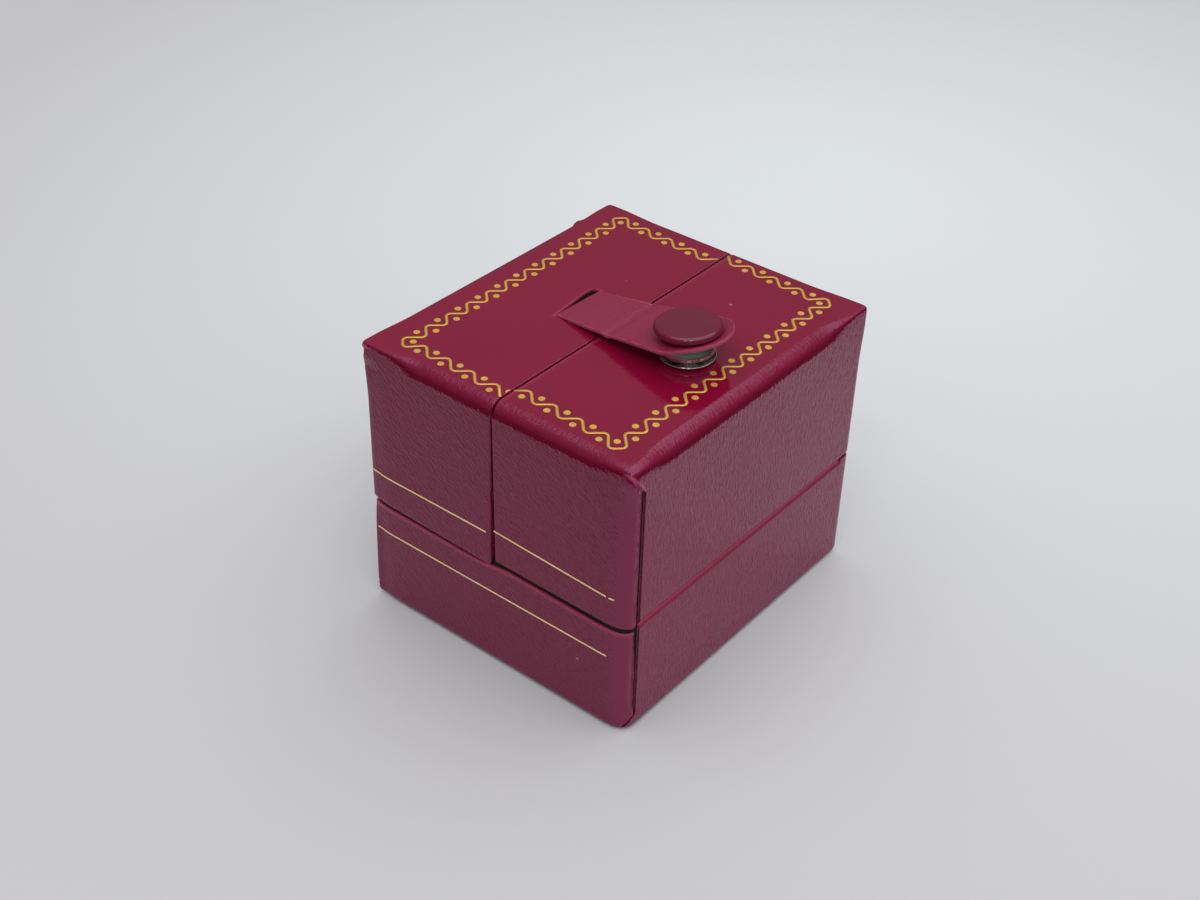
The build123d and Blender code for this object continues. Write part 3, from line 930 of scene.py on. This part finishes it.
def base_sheet():
    """Outer face of all the base's leatherette."""
    bm = box_between((-half_width, -half_depth, 0), (half_width, half_depth, rim))
    uprights = [e for e in bm.edges if not at(e, 2, 0) and not at(e, 2, rim)]
    rounded(bm, uprights, corner_rounding, 10)
    rounded(bm, edges_of(looking(bm, (0, 0, -1))), foot_rounding, 6)
    rounded(bm, edges_of(looking(bm, (0, 0, 1))), lip_rounding, 3)
    opening = looking(bm, (0, 0, 1))
    bmesh.ops.inset_individual(bm, faces=opening, thickness=lip_width, use_even_offset=True)
    bmesh.ops.delete(bm, geom=opening, context="FACES")
    sliced(bm, 0, steps(-half_width, half_width, mesh_step))
    sliced(bm, 2, steps(0, rim, mesh_step) + [strip_head])
    edges = [s * e for s in (-1, 1) for e in (strip_edge, wrap_edge)]
    sliced(bm, 1, steps(-half_depth, half_depth, mesh_step) + edges)
    return bm


def base_part(keep, name, nodes):
    """Keeps one of the base's three sheets and settles it."""
    bm = base_sheet()
    removed(bm, lambda p: not keep(p))
    settle_base(bm)
    finished(bm, name, leather, "base", nodes, sheet_thickness)


base_part(lambda p: p.y < -wrap_edge, "base_front_leatherette", ["base_front_wrap"])
base_part(lambda p: p.y > strip_edge, "base_back_leatherette", ["base_back_wrap"])
base_part(lambda p: abs(p.y) < strip_edge and p.z < strip_head, "base_strip_leatherette", ["base_cover"])

# %% [markdown]
# The hinge of each door is only a crease: the side strip goes on from the base to the door, and it is
# pressed in between the two boards.

# %% Creases
groove_depth = 0.35
crease_painted_light = 1.4          # how much painted light brightens the middle of the crease's groove


def crease_sheet(side):
    """A narrow upright sheet with a groove along its middle."""
    bm = bmesh.new()
    bmesh.ops.create_grid(bm, x_segments=60, y_segments=16, size=0.5)
    length, height = 2 * strip_edge, strip_foot - strip_head
    bmesh.ops.scale(bm, vec=(length, height, 1), verts=bm.verts)
    stand = Matrix.Rotation(math.radians(90), 4, "Z") @ Matrix.Rotation(math.radians(90), 4, "X")
    bmesh.ops.transform(bm, matrix=stand, verts=bm.verts)
    middle = (strip_foot + strip_head) / 2
    bmesh.ops.translate(bm, vec=(half_width, 0, middle), verts=bm.verts)
    wear_and_painted_light = bm.verts.layers.float.new("wear_and_painted_light")
    for v in bm.verts:
        depth = 1 - fade(abs(v.co.z - middle), 0.1, height / 2)
        v.co.x -= groove_depth * depth
        # The middle of the groove is painted brighter pink: painted light where the groove lies in shade.
        v[wear_and_painted_light] = crease_painted_light * (1 - fade(abs(v.co.z - middle), 0.08, 0.45))
    if side < 0:
        mirrored(bm)
    return bm


for door, side in doors.items():
    sheet = crease_sheet(side)
    crease = finished(sheet, door + "_crease", crease_leather, thickness=sheet_thickness)
    x = hinge[door].x * MM
    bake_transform(crease, "base", door, start=(x, 0, strip_head * MM), end=(x, 0, strip_foot * MM))

# %% [markdown]
# The foil border is a zigzag line with a dot in each notch, a plain old bookbinder's pattern. It was
# stamped as one frame round both doors, but the two sheets were not laid quite true, so each door's
# half is shifted and slanted a little. The zigzag is drawn as a line of points, its turns are rounded
# by a bevel of the vertices, and the line becomes a ribbon when it is extruded and given a thickness.

# %% Foil border
side_pitch = 4.98
end_pitch = 5.46
side_count = 11            # dots along a long side
end_count = 4              # dots along a door's front or back
line_width = 0.48
dot_radius = 0.59
foil_height = 0.03
dot_taper = 0.98           # of a dot's upper edge
split_margin = 0.12        # between the foil and the doors' split
dot_lines = {"outer": (23.35, 28.85), "inner": (21.25, 27.1)}
turn_lines = {"outer": (23.75, 29.25), "inner": (21.05, 26.6)}
lobe_in = (0.85, 0.6)      # the corner lobe's middle, in from the outer turns
lobe_reach = 1.044         # half the square end of the lobe, along each side of the frame
corner_dot = (21.7, 27.35)
turn_rounding = 0.85
first_end_dot = 19.25
# How each half lies: shifts across and in depth, then its lean and its slant
foil_lay = {"left_door": (-0.08, -0.82, -0.0044, -0.049), "right_door": (-0.33, 1.44, 0.0102, -0.0646)}


def border_line():
    """Turns of the right door's zigzag, from the split at the back round to the split at the front."""
    points = []
    for front in (1, -1):
        ends = []
        for k in range(2 * end_count):
            kind = "inner" if k % 2 == 0 else "outer"
            ends.append((first_end_dot - k * end_pitch / 2, front * turn_lines[kind][1]))
        ends = [p for p in ends if p[0] > 0]
        lobe_x, lobe_y = (turn_lines["outer"][k] - lobe_in[k] for k in range(2))
        lobe = [
            (lobe_x - lobe_reach, front * (lobe_y + lobe_reach)),
            (lobe_x + lobe_reach, front * (lobe_y - lobe_reach)),
        ]
        run = list(reversed(ends)) + lobe
        points += run if front > 0 else list(reversed(run))
        if front > 0:
            for k in range(2 * side_count - 1):
                kind = "inner" if k % 2 == 0 else "outer"
                points.append((turn_lines[kind][0], (side_count - 1) * side_pitch / 2 - k * side_pitch / 2))
    return points


def border_dots():
    """Middles of the right door's dots."""
    dots = []
    for k in range(side_count):
        dots.append((dot_lines["outer"][0], (k - (side_count - 1) / 2) * side_pitch))
    for k in range(side_count - 1):
        dots.append((dot_lines["inner"][0], (k - side_count / 2 + 1) * side_pitch))
    for front in (-1, 1):
        for k in range(end_count):
            dots.append((first_end_dot - k * end_pitch, front * dot_lines["outer"][1]))
        for k in range(end_count - 1):
            dots.append((first_end_dot - (k + 0.5) * end_pitch, front * dot_lines["inner"][1]))
        dots.append((corner_dot[0], front * corner_dot[1]))
    return dots


def ribbon(points):
    """A foil line through points on the top, as an upright strip that stands on z = 0."""
    bm = bmesh.new()
    verts = [bm.verts.new((x, y, 0)) for x, y in points]
    for first, second in zip(verts, verts[1:]):
        bm.edges.new((first, second))
    bmesh.ops.bevel(
        bm, geom=verts[1:-1], offset=turn_rounding, segments=4, profile=0.5, affect="VERTICES", material=-1
    )
    risen = bmesh.ops.extrude_edge_only(bm, edges=bm.edges[:])["geom"]
    raised = [v for v in risen if isinstance(v, bmesh.types.BMVert)]
    bmesh.ops.translate(bm, vec=(0, 0, foil_height), verts=raised)
    bmesh.ops.recalc_face_normals(bm, faces=bm.faces)
    return bm


print("border:", len(border_line()), "turns and", len(border_dots()), "dots on a door")

# %% [markdown]
# Each door's half of the border is now laid on its top. Solidify turns the raised line into a ribbon
# with mitred turns, and the dots are short discs, a little narrower at the top.

# %% Foil on the doors


def lay_foil(verts, door):
    """Shifts and slants the even border the way that it lies on this door."""
    shift_x, shift_y, lean, slant = foil_lay[door]
    for v in verts:
        x, y = doors[door] * v.co.x, v.co.y
        v.co.x = x + shift_x + lean * y
        v.co.y = y + shift_y + slant * x


def trim_at_split(bm, door):
    """Cuts off the foil that would lie over the gap between the doors."""
    side = doors[door]
    geom = bm.verts[:] + bm.edges[:] + bm.faces[:]
    edge = Vector((side * (split_top + split_margin), 0, 0))
    bmesh.ops.bisect_plane(bm, geom=geom, dist=1e-4, plane_co=edge, plane_no=(-side, 0, 0), clear_outer=True)


for door in doors:
    strip = ribbon(border_line())
    lay_foil(strip.verts, door)
    trim_at_split(strip, door)
    bmesh.ops.translate(strip, vec=(0, 0, top), verts=strip.verts)
    piece = finished(strip, door + "_foil_line", foil)
    ribbon_wall = piece.modifiers.new("width", "SOLIDIFY")
    ribbon_wall.thickness = line_width * MM
    ribbon_wall.offset = 0
    ribbon_wall.use_even_offset = True
    settled(piece)
    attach(piece, door)
    spots = bmesh.new()
    split_dot = [(first_end_dot - (end_count - 0.5) * end_pitch, -dot_lines["inner"][1])]
    disc = {"segments": 20, "radius1": dot_radius, "radius2": dot_radius * dot_taper, "depth": foil_height}
    for x, y in border_dots() + (split_dot if door == "left_door" else []):
        made = bmesh.ops.create_cone(spots, cap_ends=True, **disc)
        bmesh.ops.translate(spots, vec=(x, y, foil_height / 2), verts=made["verts"])
    lay_foil(spots.verts, door)
    if door == "left_door":
        bmesh.ops.reverse_faces(spots, faces=spots.faces[:])
    trim_at_split(spots, door)
    bmesh.ops.translate(spots, vec=(0, 0, top), verts=spots.verts)
    finished(spots, door + "_foil_dots", foil, door)

# %% [markdown]
# Thin foil lines run along the front of the base and the doors. Each is a narrow grid, laid on the
# front face and following it round the corner. Its middle swells a little, as foil does over a stamped
# line, so that its upper half catches the light. The right door's line is broken near its end.

# %% Foil lines on the front
front_line_width = 0.32
front_line_swell = 0.1
# Where each line starts and ends along the front, and its height at both ends
front_lines = (
    ("left_door_front_line", "left_door", -27.3, -1.25, 27.5, 27.5),
    ("right_door_front_line", "right_door", 0.5, 24.0, 28.6, 27.65),
    ("right_door_line_smudge", "right_door", 24.5, 25.5, 27.6, 27.65),
    ("base_front_line", "base", -27.0, 24.4, 15.4, 15.4),
)


def front_surface(x):
    """Depth of the front face at x, round its upright corners."""
    beyond = max(0.0, abs(x) - (half_width - corner_rounding))
    return -(half_depth - corner_rounding) - math.sqrt(corner_rounding ** 2 - beyond ** 2)


for name, body, start, end, first_height, last_height in front_lines:
    bm = bmesh.new()
    bmesh.ops.create_grid(bm, x_segments=60, y_segments=6, size=0.5)
    for v in bm.verts:
        share = v.co.x + 0.5
        x = start + share * (end - start)
        height = first_height + share * (last_height - first_height)
        swell = front_line_swell * math.cos(v.co.y * math.pi)
        v.co = (x, front_surface(x), height + v.co.y * front_line_width)
        if body == "left_door":
            square_corners(v, -1)
        elif body == "base":
            square_base(v)
        v.co.y += corner_ease(abs(x)) - foil_height - swell
    finished(bm, name, pale_foil, body, thickness=foil_height)

# %% [markdown]
# The tab is a strap of two layers of leatherette. It comes up through a slit in the left door, rises
# over the split and ends in a round tongue round the snap. A fine grid is trimmed by planes: one along
# each side and a fan of them round the tongue. Then its points are lifted to the strap's slope.

# %% Tab
root_x = hinge["tab"].x
root_half = corners("tab_anchor")[1].y
tongue_radius = corners("tab_strap")[1].x - snap_x
leg_end = corners("tab_anchor")[0].x
strap_layer = 0.3
root_rise = 0.05
strap_slopes = (0.165, 0.19)    # before and after the crease across the strap
strap_crease = 2.5
tongue_curl = 0.7
crease_dip = 0.25          # of the strap at its crease, and half the crease's width
crease_half = 0.75
leg_drop = 0.45            # of the glued leg, under the sheet
tongue_fan = 48            # planes round the tongue
layer_gap = 0.02           # between the two layers
fold_half = 1.4            # half the stretch of the strap that bends when the tab lifts
snap_tilt = math.radians(3.3)


def strap_height(x, y):
    """Upper face of the strap above the door's top."""
    past_root = fade(x, root_x + 1, root_x + 9)
    along = x - slit_x(y) * (1 - past_root) - root_x * past_root
    bend = strap_crease - root_x
    rise = root_rise + strap_slopes[0] * min(along, bend) + strap_slopes[1] * max(0.0, along - bend)
    under = 1 - fade(along, -0.6, 0.12)
    rise = rise * (1 - under) - (sheet_thickness + leg_drop) * under
    reach = Vector((x - snap_x, y - snap_y))
    edge = fade(reach.length, 4.8, tongue_radius) * fade(reach.x / max(reach.length, 1e-6), -0.1, 0.7)
    return rise + tongue_curl * edge - crease_dip * math.exp(-((x - strap_crease) / crease_half) ** 2)


def tangent(corner_y, turned):
    """Angle of the plane through a root corner that touches the tongue."""
    reach = Vector((root_x - snap_x, corner_y - snap_y))
    return math.atan2(reach.y, reach.x) - turned * math.acos(tongue_radius / reach.length)


def trimmed(bm, point, normal, faces):
    """Cuts off what lies beyond a plane."""
    bmesh.ops.bisect_plane(
        bm, geom=all_of(faces), dist=1e-4, plane_co=point, plane_no=normal, clear_outer=True
    )


def tab_sheet(start, inset):
    """The strap's outline from x = start to the tongue, flat, with its edge drawn in by the inset."""
    bm = bmesh.new()
    end, reach = snap_x + tongue_radius, tongue_radius + 2
    bmesh.ops.create_grid(bm, x_segments=round(end - start) * 2, y_segments=round(2 * reach) * 2, size=0.5)
    for v in bm.verts:
        v.co = (start + (v.co.x + 0.5) * (end - start), snap_y + v.co.y * 2 * reach, 0)
    sliced(bm, 0, [root_x])
    first, last = tangent(-root_half, -1), tangent(root_half, 1)
    for k in range(tongue_fan + 1):
        angle = first + (last - first) * k / tongue_fan
        way = Vector((math.cos(angle), math.sin(angle), 0))
        ahead = [f for f in bm.faces if f.calc_center_median().x > root_x]
        trimmed(bm, Vector((snap_x, snap_y, 0)) + way * (tongue_radius - inset), way, ahead)
    for way in (Vector((0, 1, 0)), Vector((0, -1, 0))):
        behind = [f for f in bm.faces if f.calc_center_median().x < root_x]
        if behind:
            trimmed(bm, way * (root_half - inset), way, behind)
    return bm


def tab_layer(start, inset, drop, name, nodes):
    """One layer of the strap, lifted to its slope, its edge painted pink as wear and a painted highlight."""
    bm = tab_sheet(start, inset)
    wear_and_painted_light = bm.verts.layers.float.new("wear_and_painted_light")
    for v in bm.verts:
        v.co.z = top + strap_height(v.co.x, v.co.y) - drop
        # The strap's edges are painted pink: wear and a painted highlight on the lit edge.
        v[wear_and_painted_light] = 0.9 if v.is_boundary else 0.0
    return finished(bm, name, tab_leather, None, nodes, strap_layer - layer_gap)


fold_start, fold_end = ((root_x + way * fold_half) * MM for way in (-1, 1))
for layer in (
    tab_layer(leg_end, 0.0, 0.0, "tab_upper", ["tab_strap", "tab_anchor"]),
    tab_layer(root_x + 2.0, 0.12, strap_layer, "tab_under", ["tab_lining"]),
):
    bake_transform(layer, "left_door", "tab", start=(fold_start, 0, top * MM), end=(fold_end, 0, top * MM))

# %% [markdown]
# The press stud is turned work, so each part is half of its section, spun once round the snap's
# middle. The cap and the socket are clamped on the strap and lean with it; the stud is riveted flat on
# the door.

# %% Press stud
spin_steps = 72


def spun(section):
    """A closed turned part from its half section of (radius, height) points."""
    bm = bmesh.new()
    verts = [bm.verts.new((r, 0, z)) for r, z in section]
    for first, second in zip(verts, verts[1:]):
        bm.edges.new((first, second))
    half = bm.verts[:] + bm.edges[:]
    bmesh.ops.spin(
        bm, geom=half, axis=(0, 0, 1), cent=(0, 0, 0), angle=2 * math.pi, steps=spin_steps, use_merge=True
    )
    bmesh.ops.remove_doubles(bm, verts=bm.verts, dist=1e-4)
    bmesh.ops.recalc_face_normals(bm, faces=bm.faces)
    return bm


def quarter(centre_r, centre_z, radius, start, end, count=6):
    """Points on an arc of a section, by angles in degrees."""
    turns = [math.radians(start + (end - start) * k / count) for k in range(count + 1)]
    return [(centre_r + radius * math.cos(a), centre_z + radius * math.sin(a)) for a in turns]


def stand_up(bm, height, tilt):
    """Puts a turned part on the snap's middle, leaning back by the tilt."""
    bmesh.ops.rotate(bm, cent=(0, 0, 0), matrix=Matrix.Rotation(-tilt, 3, "Y"), verts=bm.verts)
    bmesh.ops.translate(bm, vec=(snap_x, snap_y, height), verts=bm.verts)


cap_radius = (cap_high.x - cap_low.x) / 2
cap_rim, cap_height = 1.2, 2.05      # heights of the widest ring and of the top over the strap
strap_at_snap = top + strap_height(snap_x, snap_y)
cap_section = (
    [(0, 0), (cap_radius - 1.2, 0), (cap_radius - 0.45, 0.5)]
    + quarter(cap_radius - 0.3, cap_rim, 0.3, -60, 10)
    + quarter(cap_radius - 0.75, cap_height - 0.72, 0.7, 15, 82)
    + [(cap_radius * 0.6, cap_height + 0.02), (cap_radius * 0.3, cap_height + 0.05), (0, cap_height + 0.06)]
)
cap = spun(cap_section)
stand_up(cap, strap_at_snap + 0.02, snap_tilt)
finished(cap, "snap_cap_lacquered", lacquer, "tab", ["snap_cap"])

socket_low, socket_high = corners("snap_socket")
socket_depth = socket_high.z - socket_low.z
socket_section = (
    [(2.5, 0.25), (2.5, 0.0), (3.6, 0.0)]
    + quarter(4.3, 0.4, 0.4, -90, 0)
    + [(4.8, 0.65), (4.82, 0.85), (4.76, 1.1), (4.62, 1.45), (4.5, 1.8)]
    + [(4.45, 2.0), (4.2, socket_depth), (1.25, socket_depth), (1.25, 1.9), (3.4, 1.9), (3.4, 0.5)]
    + [(2.5, 0.25)]
)
socket = spun(socket_section)
stand_up(socket, strap_at_snap - 2 * strap_layer - socket_depth, snap_tilt)
finished(socket, "snap_socket_turned", metal, "tab", ["snap_socket"])

stud_low, stud_high = corners("snap_stud")
flange_radius = (stud_high.x - stud_low.x) / 2
stud_section = (
    [(0, -2.0), (1.5, -2.0), (1.5, 0.0), (flange_radius - 0.9, 0.0), (flange_radius - 0.3, 0.3)]
    + quarter(flange_radius - 0.15, 0.62, 0.15, -30, 120)
    + [(flange_radius - 0.6, 0.5), (flange_radius - 1.2, 0.34), (2.4, 0.34)]
    + [(2.0, 0.5), (1.95, 1.1)]
    + quarter(1.75, 1.75, 0.45, -30, 90)
    + [(0, 2.25)]
)
stud = spun(stud_section)
stand_up(stud, top, 0)
finished(stud, "snap_stud_turned", metal, "right_door", ["snap_stud"])

# %% [markdown]
# The inside is padded. A roll is foam under velvet, and each door has a satin pad under its top. A
# cover is drawn a little too small, and Blender's cloth simulation then blows it up: pressure from
# inside stands for the filling, and the edge where the cover is glued down stays put. Cloth behaves
# best at the size of real cushions, so the small cover is blown up at twenty times its size.

# %% Filling a cover
sim_scale = 20
sim_frames = 20


def filled(bm, held, pressure, spare, most):
    """Swells a closed cover by cloth under pressure. Points that pass the held test stay where they are."""
    start = [v.co.copy() for v in bm.verts]
    bmesh.ops.scale(bm, vec=(sim_scale * MM,) * 3, verts=bm.verts)
    mesh = bpy.data.meshes.new("cover")
    bm.to_mesh(mesh)
    cover = linked("cover", mesh)
    glued = cover.vertex_groups.new(name="glued")
    glued.add([i for i, place in enumerate(start) if held(place)], 1.0, "REPLACE")
    cloth = cover.modifiers.new("filling", "CLOTH")
    cloth.settings.vertex_group_mass = "glued"
    cloth.settings.use_pressure = True
    cloth.settings.uniform_pressure_force = pressure
    cloth.settings.effector_weights.gravity = 0
    cloth.settings.shrink_min = -spare
    cloth.point_cache.frame_end = sim_frames
    for number in range(1, sim_frames + 1):
        scene.frame_set(number)
    settled(cover)
    moves = [v.co / (sim_scale * MM) - place for v, place in zip(cover.data.vertices, start)]
    for v, place, move in zip(bm.verts, start, moves):
        v.co = place + move * min(1.0, most / max(move.length, 1e-6))
    bpy.data.objects.remove(cover)
    scene.frame_set(1)
    print(f"  filled: moved up to {max(m.length for m in moves):.2f} mm, kept to {most} mm")


print("a cover is filled in", sim_frames, "steps")

# %% [markdown]
# Two rings are held in the slots between three velvet rolls. Each cover starts as a box with a round
# crown, cut into a fine grid so that it can bend, and is filled while its foot stays glued to the bed.

# %% Ring rolls
roll_slack = 0.9           # the cover's size below the filled roll's
roll_crown = 6.0
roll_inset = 0.5           # of the cover at the roll's ends
roll_end_rounding = 1.4
roll_fill = {"pressure": 5.0, "spare": 0.03, "most": roll_slack}
padding_step = 1.0


def cut_fine(bm, low, high):
    """Cuts a cover into a fine even grid, so that it can bend."""
    for axis in range(3):
        sliced(bm, axis, steps(low[axis], high[axis], padding_step))


for node in ("ring_roll_front", "ring_roll_middle", "ring_roll_back"):
    low, high = corners(node)
    slack = Vector((roll_inset, roll_slack, 0))
    cover_top = high.z - roll_slack
    roll = box_between(low + slack, (high.x - slack.x, high.y - slack.y, cover_top))
    along = [e for e in roll.edges if at(e, 2, cover_top) and abs(e.verts[0].co.x - e.verts[1].co.x) > 1]
    rounded(roll, along, roll_crown, 8)
    rounded(roll, edges_of(looking(roll, (1, 0, 0)) + looking(roll, (-1, 0, 0))), roll_end_rounding, 4)
    cut_fine(roll, low, high)
    filled(roll, lambda p: p.z < low.z + 0.6, **roll_fill)
    roll = finished(roll, node + "_velvet", velvet, "base", [node], sharp=180)

# %% [markdown]
# Under each door's top lies a flat pad of satin over wadding. It is glued to the tray above it, so its
# upper face is held, and the filling only swells it downwards.

# %% Door pads
pad_slack = 0.55           # the cover's height below the filled pad's
pad_inset = 0.25
pad_rounding = 1.1
pad_fill = {"pressure": 4.0, "spare": 0.05, "most": pad_slack}

for door in doors:
    low, high = corners(door + "_pad")
    inset = Vector((pad_inset, pad_inset, 0))
    pad = box_between(low + inset + Vector((0, 0, pad_slack)), high - inset)
    rounded(pad, edges_of(looking(pad, (0, 0, -1))), pad_rounding, 4)
    cut_fine(pad, low, high)
    filled(pad, lambda p: p.z > high.z - 0.05, **pad_fill)
    pad = finished(pad, door + "_pad_satin", satin, door, [door + "_pad"], sharp=180)

# %% [markdown]
# The trays, boards, linings and small metal parts have the right shape already, so their CAD nodes
# stay and only get a finish.

# %% Finishes on the CAD nodes
node_finishes = {
    "base_shell": tray, "left_door_shell": tray, "right_door_shell": tray,
    "base_left_board": card, "base_right_board": card, "base_bottom_board": card,
    "left_door_board": card, "right_door_board": card, "insert_bed": card,
    "base_lining": velvet, "left_door_lining": velvet, "right_door_lining": velvet,
    "stud_washer": metal, "socket_spring": metal,
}
for node, finish in node_finishes.items():
    slots = frame["nodes"][node].data.materials
    slots.clear()
    slots.append(finish)
print("finished CAD nodes:", len(node_finishes))

# %% [markdown]
# The box stands on a pale sheet with a painted pool of light: it is palest near the box and fades to grey
# away from it. Seen by glossy surfaces the sheet ends a little way beyond the box, as the photographer's
# table does, so the walls mirror a dark room there.

# %% Floor
floor_half = 1500
floor_in_painted_light = (0.68, 0.71, 0.725, 1)
floor_past_painted_light = (0.55, 0.545, 0.56, 1)
floor_lit = (-0.06, 0.15, 0)      # the middle of the painted pool of light, in metres
room_dark = (0.03, 0.03, 0.03, 1)

sheet = bmesh.new()
bmesh.ops.create_grid(sheet, x_segments=1, y_segments=1, size=floor_half * MM)
floor_mesh = bpy.data.meshes.new("floor")
sheet.to_mesh(floor_mesh)
sheet.free()
floor = linked("floor", floor_mesh)
floor_finish, tree, shader = new_material("floor")
place = object_place(tree)
from_lit = add(tree, "VectorMath", operation="DISTANCE")
from_lit.inputs[1].default_value = floor_lit
from_box = add(tree, "VectorMath", operation="LENGTH")
for measure in (from_lit, from_box):
    join(tree, place, measure.inputs[0])
# Painted pool of light: the floor's colour fades from pale to grey away from its middle.
painted_light_falloff = ranged(tree, from_lit.outputs["Value"], 0.0, 1.0, from_min=0.03, from_max=0.24)
ending = ranged(tree, from_box.outputs["Value"], 0.0, 1.0, from_min=0.12, from_max=0.21)
mirrored_ray = add(tree, "LightPath").outputs["Is Glossy Ray"]
beyond_table = math_node(tree, "MULTIPLY", mirrored_ray, ending)
colour = blend_colours(tree, beyond_table, blend_colours(tree, painted_light_falloff, floor_in_painted_light, floor_past_painted_light), room_dark)
join(tree, colour, shader.inputs["Base Color"])
set_values(shader, {"Roughness": 0.7, "Specular IOR Level": 0.1})
floor_mesh.materials.append(floor_finish)
print("floor", 2 * floor_half, "mm wide")

# %% [markdown]
# The light is soft and comes from all round, so the world is an even dome. What glossy surfaces mirror
# is another sky: dark at the horizon, brighter overhead, and a little brighter across from the camera,
# which gives the top its sheen. A large soft lamp hangs over the box, and two narrow strips, high on the
# camera's side, make the small highlights on the bent edges.

# %% Dome and lamps
dome_light = (0.73, 0.73, 0.74, 1)
sky_levels = ((0.0, 0.04), (0.48, 0.05), (0.62, 0.2), (0.85, 0.4), (1.0, 0.6))    # height, brightness
sky_blue = 1.02
sheen_light = 0.06
strip_turns = ((-14, -35), (10, 35))    # each strip's place beside the camera and its own turn, in degrees
strip_fall, strip_distance = 36, 0.6    # from overhead in degrees, and in metres

scene.world = bpy.data.worlds.new("dome")
scene.world.use_nodes = True
sky = scene.world.node_tree
sky_way = add(sky, "TexCoord").outputs["Generated"]
sky_up = add(sky, "SeparateXYZ")
join(sky, sky_way, sky_up.inputs[0])
sky_ramp = add(sky, "ValToRGB")
bands = sky_ramp.color_ramp.elements
for (height, level), band in zip(sky_levels, [bands[0], bands[1]] + [bands.new(0.5) for _ in sky_levels[2:]]):
    band.position = height
    band.color = (level, level, level * sky_blue, 1)
join(sky, sky_up.outputs["Z"], sky_ramp.inputs["Fac"])
across_from = add(sky, "VectorMath", operation="DOT_PRODUCT")
across_from.inputs[1].default_value = (-back.x, -back.y, back.z)
join(sky, sky_way, across_from.inputs[0])
sheen = ranged(sky, across_from.outputs["Value"], 0.0, sheen_light, from_min=0.7, from_max=0.95)
sheen.interpolation_type = "SMOOTHSTEP"
mirrored_sky = blend_colours(sky, 1.0, sky_ramp, sheen, "ADD")
mirrored_ray = add(sky, "LightPath").outputs["Is Glossy Ray"]
sky_colour = blend_colours(sky, mirrored_ray, dome_light, mirrored_sky)
join(sky, sky_colour, sky.nodes["Background"].inputs["Color"])


def area_lamp(name, width, length, energy, place):
    """A rectangular lamp that shines straight down from its place, sizes in metres."""
    lamp = bpy.data.lights.new(name, "AREA")
    lamp.shape = "RECTANGLE"
    lamp.size, lamp.size_y = width, length
    lamp.energy = energy
    linked(name, lamp).matrix_world = place


area_lamp("softbox", 1.1, 1.1, 3.25, Matrix.Translation((0.2, 0.17, 0.75)))
for number, (beside, turned) in enumerate(strip_turns):
    around = Matrix.Rotation(camera_azimuth + math.radians(beside), 4, "Z")
    over = Matrix.Rotation(math.radians(strip_fall), 4, "X")
    turn = Matrix.Rotation(math.radians(turned), 4, "Z")
    place = around @ over @ Matrix.Translation((0, 0, strip_distance)) @ turn
    area_lamp(f"strip_{number}", 0.1, 0.014, 0.15, place)
scene.view_settings.view_transform = "Standard"
print("lamps:", len(bpy.data.lights))
